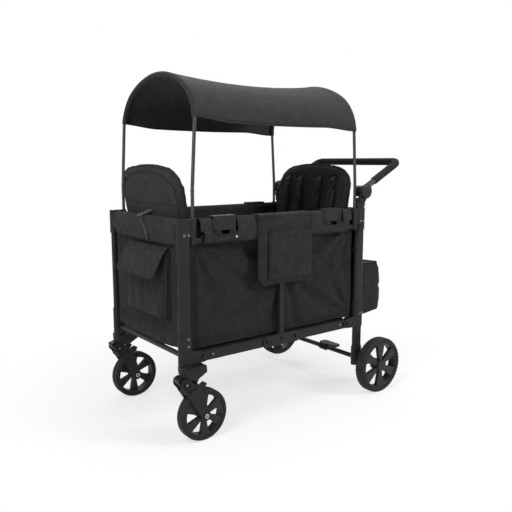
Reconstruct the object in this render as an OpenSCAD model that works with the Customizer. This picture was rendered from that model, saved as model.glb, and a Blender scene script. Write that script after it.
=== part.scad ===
// Folding stroller wagon with two facing seats, a cloth tub and a sliding canopy.
// X runs along the wagon with the handle at +X, Y across it, Z up from the ground.

/* [Frame] */
// Distance between the front and rear post centres
post_span = 908; // [880:2:960]
// Distance from a seat edge to a post centre
post_room = 34; // [28:1:50]
// Post width along the wagon
post_w = 48; // [44:1:52]
// Post thickness across the wagon
post_t = 22; // [20:1:24]
// Wall of the post tubes
post_wall = 2; // [1.5:0.1:3]
// Height of the corner cap tops
cap_top_z = 838; // [830:1:850]
// Height of a corner cap
cap_h = 96; // [90:1:110]
// Lower end of the front posts
front_post_z = 300; // [294:1:304]
// Lower end of the rear posts
rear_post_z = 120; // [105:1:125]
// Upper end of the rear posts
rear_post_top_z = 878; // [860:1:880]
// Diameter of the round cross tubes
cross_d = 25; // [20:1:28]

/* [Folding sides] */
// Height of the lower rail pivots
lower_pivot_z = 323; // [321:1:330]
// Height of the upper rail pivots
upper_pivot_z = 812; // [804:1:816]
// Distance of an end pivot inside its post
pivot_inset = 74; // [72:1:80]
// Distance of a centre pivot from the centre plane
pivot_half = 75; // [70:1:85]
// Height of a rail
rail_h = 38; // [32:1:40]
// Thickness of a lower rail
rail_t = 18; // [14:1:19]
// Thickness of an upper rail
upper_rail_t = 14; // [12:1:16]
// Distance of the upper rails inside the post centres
upper_rail_inset = 12; // [11:0.5:14]
// Diameter of the pivot bolts
bolt_d = 8; // [6:0.5:10]
// Thickness of the floor boards
board_t = 12; // [8:1:14]
// Distance of the floor edges inside the post centres
board_inset = 28; // [26:1:54]
// Width of the centre posts
centre_post_w = 23; // [18:1:28]

/* [Casters and wheels] */
// Radius of the front wheels
front_r = 100; // [90:1:104]
// Width of the front tyres
front_tyre_w = 42; // [34:1:46]
// Distance of the front wheels outside the post centres
front_track_out = 7; // [2:1:12]
// Distance the front axle trails its caster axis
caster_trail = 68; // [60:1:76]
// Height of the suspension pivots
fork_pivot_z = 239; // [235:1:243]
// Distance of a suspension pivot ahead of its caster axis
fork_pivot_lead = 15; // [10:1:18]
// Radius of the rear wheels
rear_r = 125; // [110:1:130]
// Width of the rear tyres
rear_tyre_w = 45; // [38:1:50]
// Distance of the rear wheels outside the post centres
rear_track_out = 78; // [60:1:90]
// Distance of the rear axle behind the rear posts
rear_axle_back = 61; // [56:1:70]
// Diameter of the rear axle tube
axle_d = 22; // [18:1:26]

/* [Handle] */
// Distance of the handle hinge behind the rear posts
hinge_back = 14; // [8:1:18]
// Height of the handle hinge
hinge_z = 910; // [908:1:925]
// Length of the handle arms
handle_len = 279; // [250:1:310]
// Rise of the handle arms
handle_rise = 27.7; // [20:0.1:32]
// Diameter of the handle tube
handle_d = 27; // [24:1:27]
// Diameter of the foam grip
grip_d = 34; // [33:1:40]

/* [Canopy] */
// Diameter of the canopy rods
rod_d = 13; // [10:0.5:15]
// Distance of a rod inside its post
rod_inset = 39; // [38:0.5:42]
// Distance of the rods outside the post centres
rod_out = 5; // [3:0.5:10]
// Lower end of the rods
rod_z = 745; // [742:1:755]
// Height where the rods begin to lean inward
rod_bend_z = 940; // [930:1:960]
// Lean of the rods
rod_lean = 3.3; // [2:0.1:4]
// Height of the arch tops
arch_top_z = 1375; // [1340:1:1400]
// Radius of the arch shoulders
arch_shoulder_r = 170; // [140:1:190]
// Height of the cloth hem
hem_z = 1188; // [1170:1:1210]
// Sag of the ridge between the arches
ridge_sag = 30; // [15:1:45]

/* [Soft parts] */
// Lower edge of the cloth tub
tub_z = 348; // [346:1:352]
// Depth of the collar below the upper rail pivots
collar_drop = 67; // [62:1:72]
// Height of the collar above the upper rail pivots
collar_rise = 28; // [27:1:36]
// Width of the seats
seat_w = 480; // [420:1:486]
// Height of the seat hinge
seat_z = 648; // [640:1:656]
// Depth of a seat pan
pan_depth = 236; // [200:1:240]
// Thickness of a seat pan
pan_t = 40; // [34:1:42]
// Length of a seat back
back_len = 406; // [370:1:420]
// Thickness of a seat back
back_t = 30; // [24:1:32]
// Lean of the seat backs
back_lean = 10; // [8:0.5:12]
// Depth of the front pocket
pocket_depth = 46; // [36:1:60]
// Width of the front pocket
pocket_w = 320; // [260:1:360]
// Distance of the front pocket below the collar
pocket_drop = 20; // [10:1:45]
// Height of the front pocket
pocket_h = 272; // [255:1:300]
// Depth of the rear bag
bag_depth = 164; // [130:1:175]
// Height of the rear bag
bag_h = 236; // [200:1:250]

/* [Hidden] */
$fn = 48;

// Clearances
pin_gap = 0.05;
open_gap = 0.5;
seat_gap = 0.3;
run_gap = 0.5;
fit_gap = 0.05;
eps = 0.01;

// Thickness of the tub cloth
sheet_t = 3;

// Places along the wagon, measured from the middle between the posts
front_x = -post_span/2;
rear_x = post_span/2;
hinge_x = rear_x + hinge_back;
caster_off = 2;
caster_x = front_x - caster_off;
front_axle_x = caster_x + caster_trail;
rear_axle_x = rear_x + rear_axle_back;
panel_out = 10;
panel_x = rear_x + panel_out;
flap_t = 4;
pocket_face_x = panel_x + sheet_t/2 + pocket_depth;
grip_x = hinge_x + handle_len*cos(handle_rise);

// Places across the wagon, measured from the middle plane
post_y = seat_w/2 + post_room;
upper_rail_y = post_y - upper_rail_inset;
board_half = post_y - board_inset;
front_track = post_y + front_track_out;
rear_track = post_y + rear_track_out;
rod_y = post_y + rod_out;

// Heights of the tub cloth
collar_z = upper_pivot_z - collar_drop;
collar_top_z = upper_pivot_z + collar_rise;
pocket_top_z = collar_z - pocket_drop;

// Shift that puts the middle of the whole length at X = 0
length_front = pocket_face_x + seat_gap + flap_t;
length_rear = grip_x + grip_d/2;
mid_x = (length_front - length_rear)/2;

// Frame sections
sleeve_wall = 3;
sleeve_w = post_w + 2*(seat_gap + sleeve_wall);
sleeve_t = post_t + 2*(seat_gap + sleeve_wall);
post_flat = (post_w - post_t)/2;
cap_in_y = post_y - sleeve_t/2;
cap_out_y = post_y + sleeve_t/2;
cap_z = cap_top_z - cap_h;
cap_roof = 3;
sleeve_h = 115;
rear_sleeve_z = lower_pivot_z - 23;
ear_t = 4;
ear_in = rail_t/2 + run_gap;
ear_x = rear_x - post_flat - 6;
lug_r = rail_h/2 + 1;
ear_drop = 3;
ear_rise = 10;
low_tube_d = 20;
low_tube_z = lower_pivot_z + 10;
seat_tube_x = rear_x - 6;
seat_tube_d = 20;

// Rails, pivots and floor
pivot_x = rear_x - pivot_inset;
rail_len = pivot_x - pivot_half;
rail_wall = 3;
upper_lug_out_y = upper_rail_y - upper_rail_t/2 - run_gap;
upper_lug_t = 4.5;
upper_lug_in_y = upper_lug_out_y - upper_lug_t;
plate_in_y = post_y + rail_t/2 + run_gap;
plate_t = 5;
head_in_y = upper_rail_y + upper_rail_t/2 + run_gap;
head_t = 5;
head_d = bolt_d + 8;
bar_w = 20;
bar_step = rail_len/4;
board_z = lower_pivot_z + bar_w/2;
board_gap = 5;
board_end = 3;
board_over = 10;
hook_x = 279;
hook_len = 102;
hook_h = 54;
hook_up = 4.5;
hook_t = 4;
hook_clear = 5;
hook_out_y = head_in_y + 15;

// Canopy
rod_x = rear_x - rod_inset;
rod_gap = 0.1;
clamp_wall = 5;
clamp_d = rod_d + 2*clamp_wall;
clamp_z = cap_z + 30;
twist_z = cap_z + 3;
tab_len = 34;
tab_w = 8;
shoulder_angle = 60;
shoulder_reach = (rod_y - arch_shoulder_r)/cos(shoulder_angle);
crown_r = arch_shoulder_r + shoulder_reach;
shoulder_rise = arch_shoulder_r + shoulder_reach*(1 - sin(shoulder_angle));
bend_ball_d = rod_d + 2;
bend_half = 1.5;
shoulder_z = (arch_top_z - rod_d/2 - rod_bend_z)/cos(rod_lean) - shoulder_rise;
cloth_t = 2.5;

// Tub cloth
side_y = upper_lug_in_y + 8.5;
collar_in_y = upper_lug_in_y - seat_gap - sheet_t - 2.5;
collar_out_y = hook_out_y + 1;
collar_half = pivot_x - 8;
side_half = rear_x - 31;
end_half = upper_lug_in_y - seat_gap;
end_in_x = rear_x - 22;
end_out_x = rear_x + 22;

// Seats
seat_inset = 110;
pan_x = rear_x - seat_inset;
pan_pin_inset = 10;
pan_axis_x = pan_x - pan_pin_inset;
pan_axis_z = seat_z - pan_pin_inset;
back_gap = 13.5;
back_below = 20;
back_corner = [130, 95];
back_bow = 8;
pan_corner = [40, 40];
draw_in = 5;
back_pivot_x = pan_x + back_gap + back_t/2/cos(back_lean);
back_pivot_z = seat_z - 18;
seat_arm_y = seat_w/2 + 2;
seat_arm_t = 5;
seat_arm_w = seat_tube_d + 4;
seat_pin = 18;

// Handle hinge
knuckle_r = 25;
arm_y = post_y - 9;
knuckle_in_y = arm_y - handle_d/2 - 2;
hub_in_y = post_y + 7;
hub_t = 13;
hub_r = 27;
hub_pin_d = 12;
corner_r = 30;
grip_start = 0.34*handle_len;
neck_w = 38;
button_d = 18;
button_travel = 4;
hub_lift = 7;
button_hole = 9;
button_len = 6.5;

// Latch, brake, pocket, bag and organizer
latch_x = rear_x - 10;
latch_z = cap_z + 18;
latch_len = 45;
latch_w = 14;
latch_pin_d = 6;
latch_out_y = cap_out_y + run_gap + 4;
bracket_h = 85;
pedal_hub = 40;
pedal_len = 45;
pedal_w = 110;
pocket_off = -38;
pocket_r = 24;
flap_h = 135;
bag_z = 339;
bag_r = 13;
bag_half = board_half;
organizer_w = 275;
organizer_off = 7;
organizer_z = 560;
organizer_r = 40;
organizer_t = 14;
fold_depth = 3;
fold_pitch = 240;
hub_cap = 6;

// Casters
housing_d = 50;
housing_h = 32;
stem_d = 14;
crown_z = front_post_z - housing_h - run_gap;
crown_h = 22;
crown_d = 46;
leg_t = 6;
pivot_boss_d = 44;
pivot_rim_d = 30;
axle_boss_d = 40;
boss_rise = 3;
leg_in = front_tyre_w/2 + 3.5;
fork_pivot_x = caster_x - fork_pivot_lead;
fork_dx = front_axle_x - fork_pivot_x;
fork_dz = fork_pivot_z - front_r;
fork_len = norm([fork_dx, fork_dz]);
fork_angle = atan2(fork_dz, fork_dx);
lug_half = 17;
lug_d = 28;
// Rear corners of the yoke shroud, from the caster axis and its crown
shroud_top = 29;
shroud_back = 74;
shroud_clear = 2;
// Rear edge of a fork leg, from its pivot along the leg and behind its axis
leg_back = [[83, 35], [58, 45], [62, 56], [54, 69], [37, 60], [35, 33]];
leg_cells = [[[23, -12], [38, -12], [38, 2], [25, 2]], [[25, 7], [40, 7], [44, 24], [31, 24]]];
bridge_from = [28, -14];
bridge_size = [20, 54];
axle_bolt_d = 10;
stub_d = 12;
rim_depth = 6;
// Inner radius of a tyre and half width of a spoke's tip, as shares of the wheel's radius
tyre_inner = 0.84;
spoke_tip = 0.19;

// Shared shapes

module from_mid() {
    translate([mid_x, 0, 0]) children();
}

module front_end() {
    mirror([1, 0, 0]) children();
}

module left_side() {
    mirror([0, 1, 0]) children();
}

module both_sides() {
    children();
    left_side() children();
}

// Flat-sided oval with round ends, long along X
module oval(w, t) {
    square([w - t, t], center = true);
    for (end = [-1, 1]) translate([end*(w - t)/2, 0]) circle(d = t);
}

// Square with round corners
module round_square(w, h, r) {
    square([w, h - 2*r], center = true);
    square([w - 2*r, h], center = true);
    for (i = [-1, 1], j = [-1, 1]) translate([i*(w/2 - r), j*(h/2 - r)]) circle(r = r);
}

// Extrude a shape drawn in X and Z from y0 to y1
module across(y0, y1) {
    translate([0, y1, 0]) rotate([90, 0, 0]) linear_extrude(y1 - y0) children();
}

// Round bar along Y at a place in X and Z
module bar_y(x, z, d, y0, y1) {
    translate([x, y1, z]) rotate([90, 0, 0]) cylinder(d = d, h = y1 - y0);
}

// Bar with round ends between two points in X and Z, drawn flat
module link(a, b, w) {
    run = b - a;
    translate(a) rotate(atan2(run[1], run[0])) translate([norm(run)/2, 0]) oval(norm(run) + w, w);
}

// Closed solid between two point grids of nu by nv points
module between_grids(outer, inner, nu, nv) {
    n = nu*nv;
    skin = [for (i = [0:nu - 2], j = [0:nv - 2]) let (a = i*nv + j, b = a + nv)
        each [[a, a + 1, b + 1], [a, b + 1, b]]];
    back = [for (f = skin) [f[2] + n, f[1] + n, f[0] + n]];
    ends_u = [for (i = [0:nu - 2]) let (a = i*nv, b = a + nv, c = a + nv - 1, d = c + nv)
        each [[a, b, b + n], [a, b + n, a + n], [d, c, c + n], [d, c + n, d + n]]];
    ends_v = [for (j = [0:nv - 2]) let (a = j, b = j + 1, c = n - nv + j, d = c + 1)
        each [[b, a, a + n], [b, a + n, b + n], [c, d, d + n], [c, d + n, c + n]]];
    polyhedron(concat(outer, inner), concat(skin, back, ends_u, ends_v));
}

// Pivot bolt from y0 to y1 with a domed head outside y1
module pivot_bolt(x, z, y0, y1) {
    bar_y(x, z, bolt_d, y0, y1);
    bar_y(x, z, head_d, y1, y1 + head_t);
}

// End frames, drawn at the rear and mirrored for the front

module post(z0, z1) {
    translate([rear_x, post_y, z0]) linear_extrude(z1 - z0) difference() {
        oval(post_w, post_t);
        oval(post_w - 2*post_wall, post_t - 2*post_wall);
    }
}

module post_hole(z0, z1) {
    translate([rear_x, post_y, z0]) linear_extrude(z1 - z0) oval(post_w + 2*seat_gap, post_t + 2*seat_gap);
}

module sleeve(z0, z1) {
    translate([rear_x, post_y, z0]) linear_extrude(z1 - z0) oval(sleeve_w, sleeve_t);
}

module seat_arm() {
    across(seat_arm_y, seat_arm_y + seat_arm_t) {
        link([pan_axis_x, pan_axis_z], [back_pivot_x, back_pivot_z], seat_arm_w);
        link([back_pivot_x, back_pivot_z], [seat_tube_x, seat_z], seat_arm_w);
    }
    bar_y(pan_axis_x, pan_axis_z, bolt_d, seat_arm_y - seat_pin, seat_arm_y + eps);
    bar_y(back_pivot_x, back_pivot_z, bolt_d, seat_arm_y - seat_pin, seat_arm_y + eps);
}

module cross_tubes() {
    bar_y(rear_x, upper_pivot_z, cross_d, -upper_lug_in_y, upper_lug_in_y);
    bar_y(rear_x, low_tube_z, low_tube_d, -cap_in_y, cap_in_y);
    bar_y(seat_tube_x, seat_z, seat_tube_d, post_t/2 - post_y, post_y - post_t/2);
    both_sides() seat_arm();
}

// Corner cap with the upper rail lug and the canopy rod clamp
module corner_cap(post_top) {
    difference() {
        union() {
            sleeve(cap_z, cap_top_z);
            translate([rod_x, rod_y, clamp_z]) cylinder(d = clamp_d, h = cap_top_z - clamp_z);
            translate([rod_x, rod_y - clamp_d/4, clamp_z])
                cube([rod_inset - post_flat, clamp_d/2, cap_top_z - clamp_z]);
            across(upper_lug_in_y, upper_lug_out_y)
                link([pivot_x, upper_pivot_z], [rear_x, upper_pivot_z], rail_h);
            translate([rear_x - post_flat, upper_lug_in_y, upper_pivot_z - rail_h/2])
                cube([2*post_flat, post_y - upper_lug_in_y, rail_h]);
        }
        post_hole(cap_z - eps, post_top);
        translate([rod_x, rod_y, clamp_z - eps])
            cylinder(d = rod_d + 2*rod_gap, h = cap_top_z - clamp_z + 2*eps);
        bar_y(pivot_x, upper_pivot_z, bolt_d + 2*pin_gap, upper_lug_in_y - eps, upper_lug_out_y + eps);
    }
}

module hinge_lug(z0) {
    difference() {
        union() {
            sleeve(z0, z0 + sleeve_h);
            for (side = [-1, 1]) {
                y = post_y + side*(ear_in + ear_t/2);
                across(y - ear_t/2, y + ear_t/2) {
                    translate([pivot_x, lower_pivot_z]) circle(r = lug_r);
                    polygon([[pivot_x, lower_pivot_z - lug_r], [ear_x, lower_pivot_z - lug_r - ear_drop],
                        [ear_x, lower_pivot_z + lug_r + ear_rise], [pivot_x, lower_pivot_z + lug_r]]);
                }
            }
        }
        post_hole(z0 - eps, z0 + sleeve_h + eps);
        bar_y(pivot_x, lower_pivot_z, bolt_d + 2*pin_gap, post_y - rail_t - ear_t, post_y + rail_t + ear_t);
    }
}

module end_bolts() {
    pivot_bolt(pivot_x, upper_pivot_z, upper_lug_in_y, head_in_y);
    pivot_bolt(pivot_x, lower_pivot_z, post_y - ear_in - ear_t, post_y + ear_in + ear_t);
    bar_y(pivot_x, lower_pivot_z, head_d, post_y - ear_in - ear_t - head_t, post_y - ear_in - ear_t);
}

module front_posts() {
    color("#2a2a2c") from_mid() front_end() both_sides()
        post(front_post_z, cap_top_z - cap_roof - seat_gap);
}

module rear_posts() {
    color("#2a2a2c") from_mid() both_sides() post(rear_post_z, rear_post_top_z);
}

module front_cross_tubes() {
    color("#2a2a2c") from_mid() front_end() cross_tubes();
}

module rear_cross_tubes() {
    color("#2a2a2c") from_mid() cross_tubes();
}

module front_corner_caps() {
    color("#1d1d1f") from_mid() front_end() both_sides() corner_cap(cap_top_z - cap_roof);
}

module rear_corner_caps() {
    color("#1d1d1f") from_mid() both_sides() corner_cap(cap_top_z + eps);
}

// Lower lugs of the front posts with the caster housings under them
module front_hinge_lugs() {
    color("#1d1d1f") from_mid() both_sides() {
        front_end() hinge_lug(front_post_z);
        translate([caster_x, front_track, front_post_z - housing_h]) difference() {
            cylinder(d = housing_d, h = housing_h);
            translate([0, 0, -eps]) cylinder(d = stem_d + 2*pin_gap, h = housing_h + 2*eps);
        }
    }
}

module rear_hinge_lugs() {
    color("#1d1d1f") from_mid() both_sides() hinge_lug(rear_sleeve_z);
}

module front_bolts() {
    color("#8a6a58") from_mid() front_end() both_sides() end_bolts();
}

// Rear pivot bolts and the pin of the fold latch
module rear_bolts() {
    color("#8a6a58") from_mid() {
        both_sides() end_bolts();
        left_side() {
            bar_y(latch_x, latch_z, latch_pin_d, cap_out_y, latch_out_y + run_gap);
            bar_y(latch_x, latch_z, 2*latch_pin_d, latch_out_y + run_gap, latch_out_y + run_gap + 3);
        }
    }
}

// Folding sides

module rail(y, t, z, inner_gap, outer_gap) {
    difference() {
        across(y - t/2, y + t/2) link([pivot_half, z], [pivot_x, z], rail_h);
        translate([pivot_half - rail_h, y - t/2 + rail_wall, z - rail_h/2 + rail_wall])
            cube([rail_len + 2*rail_h, t - 2*rail_wall, rail_h - 2*rail_wall]);
        bar_y(pivot_half, z, bolt_d + 2*inner_gap, y - t, y + t);
        bar_y(pivot_x, z, bolt_d + 2*outer_gap, y - t, y + t);
    }
}

module lower_rails() {
    both_sides() rail(post_y, rail_t, lower_pivot_z, pin_gap, pin_gap);
}

// Floor board on battens that reach the rails or posts on both sides
module floor_board(x0, x1, battens) {
    batten_half = post_y - rail_t/2;
    translate([x0, -board_half, board_z]) cube([x1 - x0, 2*board_half, board_t]);
    for (x = battens)
        translate([x - bar_w/2, -batten_half, lower_pivot_z - bar_w/2]) cube([bar_w, 2*batten_half, bar_w]);
}

module end_board() {
    floor_board(pivot_half + board_end, pivot_x + board_over,
                [pivot_half + bar_step, pivot_half + 3*bar_step]);
}

// Sleeve on an upper rail that catches the opposite end when folded
module rail_hook() {
    in_y = upper_rail_y - upper_rail_t/2 - seat_gap;
    z = upper_pivot_z;
    difference() {
        translate([hook_x - hook_len/2, in_y - hook_t, z + hook_up - hook_h/2])
            cube([hook_len, hook_out_y - in_y + hook_t, hook_h]);
        translate([hook_x - hook_len, in_y, z - rail_h/2 - seat_gap])
            cube([2*hook_len, upper_rail_t + 2*seat_gap, rail_h + 2*seat_gap]);
    }
}

module front_lower_rails() {
    color("#2a2a2c") from_mid() front_end() lower_rails();
}

module rear_lower_rails() {
    color("#2a2a2c") from_mid() lower_rails();
}

module front_floor_board() {
    color("#202022") from_mid() front_end() end_board();
}

module rear_floor_board() {
    color("#202022") from_mid() end_board();
}

module centre_floor_board() {
    color("#202022") from_mid() floor_board(board_gap - pivot_half, pivot_half - board_gap, [0]);
}

module front_upper_rails() {
    color("#2a2a2c") from_mid() front_end() both_sides()
        rail(upper_rail_y, upper_rail_t, upper_pivot_z, open_gap, pin_gap);
}

module rear_upper_rails() {
    color("#2a2a2c") from_mid() both_sides()
        rail(upper_rail_y, upper_rail_t, upper_pivot_z, pin_gap, open_gap);
}

module front_rail_hooks() {
    color("#19191b") from_mid() front_end() both_sides() rail_hook();
}

module rear_rail_hooks() {
    color("#19191b") from_mid() both_sides() rail_hook();
}

module centre_plates() {
    color("#1d1d1f") from_mid() both_sides() difference() {
        across(plate_in_y, plate_in_y + plate_t)
            link([-pivot_half, lower_pivot_z], [pivot_half, lower_pivot_z], rail_h + 8);
        for (x = [-pivot_half, 0, pivot_half])
            bar_y(x, lower_pivot_z, bolt_d + 2*pin_gap, plate_in_y - eps, plate_in_y + plate_t + eps);
    }
}

// Centre posts with their T-heads
module centre_posts() {
    in_y = post_y - rail_t/2;
    depth = plate_in_y - in_y;
    rise = upper_pivot_z - lower_pivot_z;
    color("#2a2a2c") from_mid() both_sides() difference() {
        union() {
            translate([-centre_post_w/2, in_y, lower_pivot_z - rail_h/2])
                cube([centre_post_w, depth, rise + rail_h]);
            across(head_in_y, head_in_y + plate_t)
                link([-pivot_half, upper_pivot_z], [pivot_half, upper_pivot_z], rail_h);
        }
        translate([post_wall - centre_post_w/2, in_y + post_wall, lower_pivot_z + rail_h/2])
            cube([centre_post_w - 2*post_wall, depth - 2*post_wall, rise]);
        for (x = [-pivot_half, pivot_half])
            bar_y(x, upper_pivot_z, bolt_d + 2*pin_gap, head_in_y - eps, head_in_y + plate_t + eps);
        bar_y(0, lower_pivot_z, bolt_d + 2*pin_gap, in_y - eps, plate_in_y + eps);
    }
}

module centre_bolts() {
    color("#8a6a58") from_mid() both_sides() {
        for (x = [-pivot_half, pivot_half]) {
            pivot_bolt(x, lower_pivot_z, post_y - rail_t/2 - 1, plate_in_y + plate_t);
            pivot_bolt(x, upper_pivot_z, upper_rail_y - upper_rail_t/2, head_in_y + plate_t);
        }
        pivot_bolt(0, lower_pivot_z, post_y - rail_t/2 + 1, plate_in_y + plate_t);
    }
}

// Handle, brake and latch

module handle_hinge_hubs() {
    color("#1d1d1f") from_mid() both_sides() difference() {
        union() {
            sleeve(cap_top_z + hub_lift, rear_post_top_z + cap_roof + seat_gap);
            across(hub_in_y, hub_in_y + hub_t) {
                translate([hinge_x, hinge_z]) circle(r = hub_r);
                link([rear_x, rear_post_top_z], [hinge_x, hinge_z], neck_w);
            }
            bar_y(hinge_x, hinge_z, hub_pin_d, knuckle_in_y, hub_in_y + hub_t - button_hole);
        }
        post_hole(cap_top_z, rear_post_top_z + seat_gap);
        bar_y(hinge_x, hinge_z, button_d + 2*pin_gap, hub_in_y + hub_t - button_hole, hub_in_y + 2*hub_t);
    }
}

// Frame of the handle: X along the arms, Y across
module handle_frame() {
    translate([hinge_x, 0, hinge_z]) rotate([0, -handle_rise, 0]) children();
}

// Arms from a distance along them, bends and cross bar
module handle_loop(d, from) {
    both_sides() {
        translate([from, arm_y, 0]) rotate([0, 90, 0]) cylinder(d = d, h = handle_len - corner_r - from);
        translate([handle_len - corner_r, arm_y - corner_r, 0])
            rotate_extrude(angle = 90) translate([corner_r, 0]) circle(d = d);
    }
    bar_y(handle_len, 0, d, corner_r - arm_y, arm_y - corner_r);
}

module handle_bar() {
    color("#2a2a2c") from_mid() handle_frame() difference() {
        union() {
            both_sides() bar_y(0, 0, 2*knuckle_r, knuckle_in_y, hub_in_y - run_gap);
            handle_loop(handle_d, 0);
        }
        both_sides() bar_y(0, 0, hub_pin_d + 2*pin_gap, knuckle_in_y - eps, hub_in_y);
    }
}

module handle_grip() {
    color("#1a1a1b") from_mid() handle_frame() difference() {
        handle_loop(grip_d, grip_start);
        handle_loop(handle_d + 2*fit_gap, grip_start - eps);
    }
}

module handle_button() {
    in_y = hub_in_y + hub_t - button_hole + button_travel + run_gap;
    from_mid() bar_y(hinge_x, hinge_z, button_d, in_y, in_y + button_len);
}

module handle_button_left() {
    color("#3a3a3c") left_side() handle_button();
}

module handle_button_right() {
    color("#3a3a3c") handle_button();
}

// Hook that keeps the folded frame shut
module fold_latch() {
    color("#19191b") from_mid() left_side() difference() {
        across(cap_out_y + run_gap, latch_out_y) {
            link([latch_x, latch_z], [latch_x - 6, latch_z - latch_len], latch_w);
            link([latch_x - 6, latch_z - latch_len], [latch_x - 16, latch_z - latch_len + 8], latch_w/2);
        }
        bar_y(latch_x, latch_z, latch_pin_d + 2*pin_gap, cap_out_y, latch_out_y + eps);
    }
}

module brake_pedal() {
    color("#1d1d1f") from_mid() difference() {
        union() {
            bar_y(rear_axle_x, rear_r, axle_d + 12, -pedal_hub/2, pedal_hub/2);
            translate([rear_axle_x, -pedal_hub/2, rear_r]) cube([axle_d, pedal_hub, 10]);
            translate([rear_axle_x + axle_d/2 + 7, 0, rear_r]) linear_extrude(10)
                translate([pedal_len/2, 0]) round_square(pedal_len, pedal_w, 12);
        }
        bar_y(rear_axle_x, rear_r, axle_d + 2*pin_gap, -pedal_hub, pedal_hub);
    }
}

// Axle tube with wheel stubs, and the brackets that hold it to the rear posts
module rear_axle() {
    tube_half = rear_track - rear_tyre_w/2 - 4;
    bracket_top = rear_post_z + bracket_h;
    color("#2a2a2c") from_mid() {
        bar_y(rear_axle_x, rear_r, axle_d, -tube_half, tube_half);
        both_sides() {
            bar_y(rear_axle_x, rear_r, stub_d, tube_half - eps, rear_track + rear_tyre_w/2);
            difference() {
                union() {
                    sleeve(rear_post_z, bracket_top);
                    across(cap_in_y, cap_out_y) {
                        translate([rear_axle_x, rear_r]) circle(d = axle_d + 14);
                        translate([rear_x, rear_r - axle_d/2 - 2])
                            square([rear_axle_back, axle_d + 4]);
                    }
                }
                post_hole(rear_post_z - eps, bracket_top + eps);
                bar_y(rear_axle_x, rear_r, axle_d + 2*fit_gap, cap_in_y - eps, cap_out_y + eps);
            }
        }
    }
}

// Casters and wheels, drawn on the right

// Yoke with its stem, hollow rear shroud, nose and suspension lug
module caster_yoke() {
    shroud_end = caster_x + shroud_back;
    crown_low = crown_z - crown_h;
    half = leg_in + leg_t;
    from_mid() translate([0, front_track, 0]) difference() {
        union() {
            translate([caster_x, 0, crown_z - eps]) cylinder(d = stem_d, h = housing_h + run_gap - 1);
            translate([caster_x, 0, crown_low]) cylinder(d = crown_d, h = crown_h);
            difference() {
                across(-half, half) polygon([
                    [caster_x - 16, crown_z + shroud_top - 4], [shroud_end - 2, crown_z + shroud_top],
                    [shroud_end, crown_z + 4], [caster_x + 26, crown_low], [caster_x - 14, crown_low + 20]]);
                translate([caster_x, 0, crown_z]) cylinder(d = housing_d + 2*shroud_clear, h = housing_h);
            }
            across(-lug_half, lug_half) {
                translate([fork_pivot_x, fork_pivot_z]) circle(d = lug_d);
                translate([fork_pivot_x - lug_d/2, fork_pivot_z])
                    square([lug_d, crown_low - fork_pivot_z + 2]);
                polygon([[caster_x, crown_z - 4], [fork_pivot_x - 26, crown_z - 6],
                    [fork_pivot_x - 29, crown_z - 12], [fork_pivot_x - 19, fork_pivot_z - 3],
                    [fork_pivot_x, fork_pivot_z - lug_d/2 + 1], [caster_x, crown_low]]);
            }
        }
        bar_y(fork_pivot_x, fork_pivot_z, axle_bolt_d + 2*pin_gap, -leg_in, leg_in);
    }
}

// Outline of a fork leg, along X from its pivot
module leg_outline() {
    circle(d = pivot_boss_d);
    translate([fork_len, 0]) circle(d = axle_boss_d);
    near = pivot_boss_d/2 - 2;
    far = axle_boss_d/2 - 2;
    polygon([[0, -near], [fork_len, -far], [fork_len, far], each leg_back, [0, near]]);
}

// Fork legs with their bridge, pivot bolt and axle bolt
module fork() {
    pivot = [fork_pivot_x, fork_pivot_z];
    axle = [front_axle_x, front_r];
    bolt_half = leg_in + leg_t;
    from_mid() translate([0, front_track, 0]) {
        difference() {
            union() {
                both_sides() {
                    across(leg_in, bolt_half) translate(pivot) rotate(-fork_angle) leg_outline();
                    across(bolt_half - 1, bolt_half + boss_rise) translate(pivot) difference() {
                        circle(d = pivot_boss_d - 3);
                        circle(d = pivot_rim_d);
                    }
                }
                across(-leg_in - eps, leg_in + eps) translate(pivot) rotate(-fork_angle)
                    translate(bridge_from) square(bridge_size);
            }
            both_sides() for (cell = leg_cells) across(bolt_half - leg_t/2, bolt_half + leg_t/2)
                translate(pivot) rotate(-fork_angle) polygon(cell);
            for (end = [pivot, axle])
                bar_y(end[0], end[1], axle_bolt_d + 2*fit_gap, -bolt_half - eps, bolt_half + eps);
        }
        for (end = [pivot, axle]) {
            bar_y(end[0], end[1], axle_bolt_d, -bolt_half, bolt_half);
            both_sides() bar_y(end[0], end[1], 1.8*axle_bolt_d, bolt_half, bolt_half + 4);
        }
    }
}

module tyre(x, track, r, w) {
    inner = tyre_inner*r;
    round = min(w/4, (r - inner)/2 - 1);
    from_mid() translate([x, track, r]) rotate([90, 0, 0]) rotate_extrude($fn = 96) {
        translate([inner, -w/2]) square([r - inner - round, w]);
        translate([inner, round - w/2]) square([r - inner, w - 2*round]);
        for (side = [-1, 1]) translate([r - round, side*(w/2 - round)]) circle(r = round);
    }
}

// Rim with six paddle spokes; the cap closes the outer end of the bore
module rim(x, track, r, w, bore, cap) {
    outer = tyre_inner*r - fit_gap;
    hub = 0.2*r;
    tip = outer - rim_depth/2;
    from_mid() translate([x, track, r]) rotate([90, 0, 0]) difference() {
        union() {
            rotate_extrude($fn = 96) translate([outer - rim_depth, -0.45*w]) square([rim_depth, 0.9*w]);
            translate([0, 0, -w/2 - cap]) cylinder(r = hub, h = w + cap);
            for (i = [0:5]) rotate(60*i + 30) translate([0, 0, -0.42*w]) linear_extrude(0.36*w)
                polygon([[hub/2, -6], [tip, -spoke_tip*r], [tip, spoke_tip*r], [hub/2, 6]]);
        }
        translate([0, 0, -w/2 - (cap > 0 ? seat_gap : eps)]) cylinder(d = bore + 2*pin_gap, h = w + 1);
    }
}

module caster_yoke_left() {
    color("#1d1d1f") left_side() caster_yoke();
}

module caster_yoke_right() {
    color("#1d1d1f") caster_yoke();
}

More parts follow.
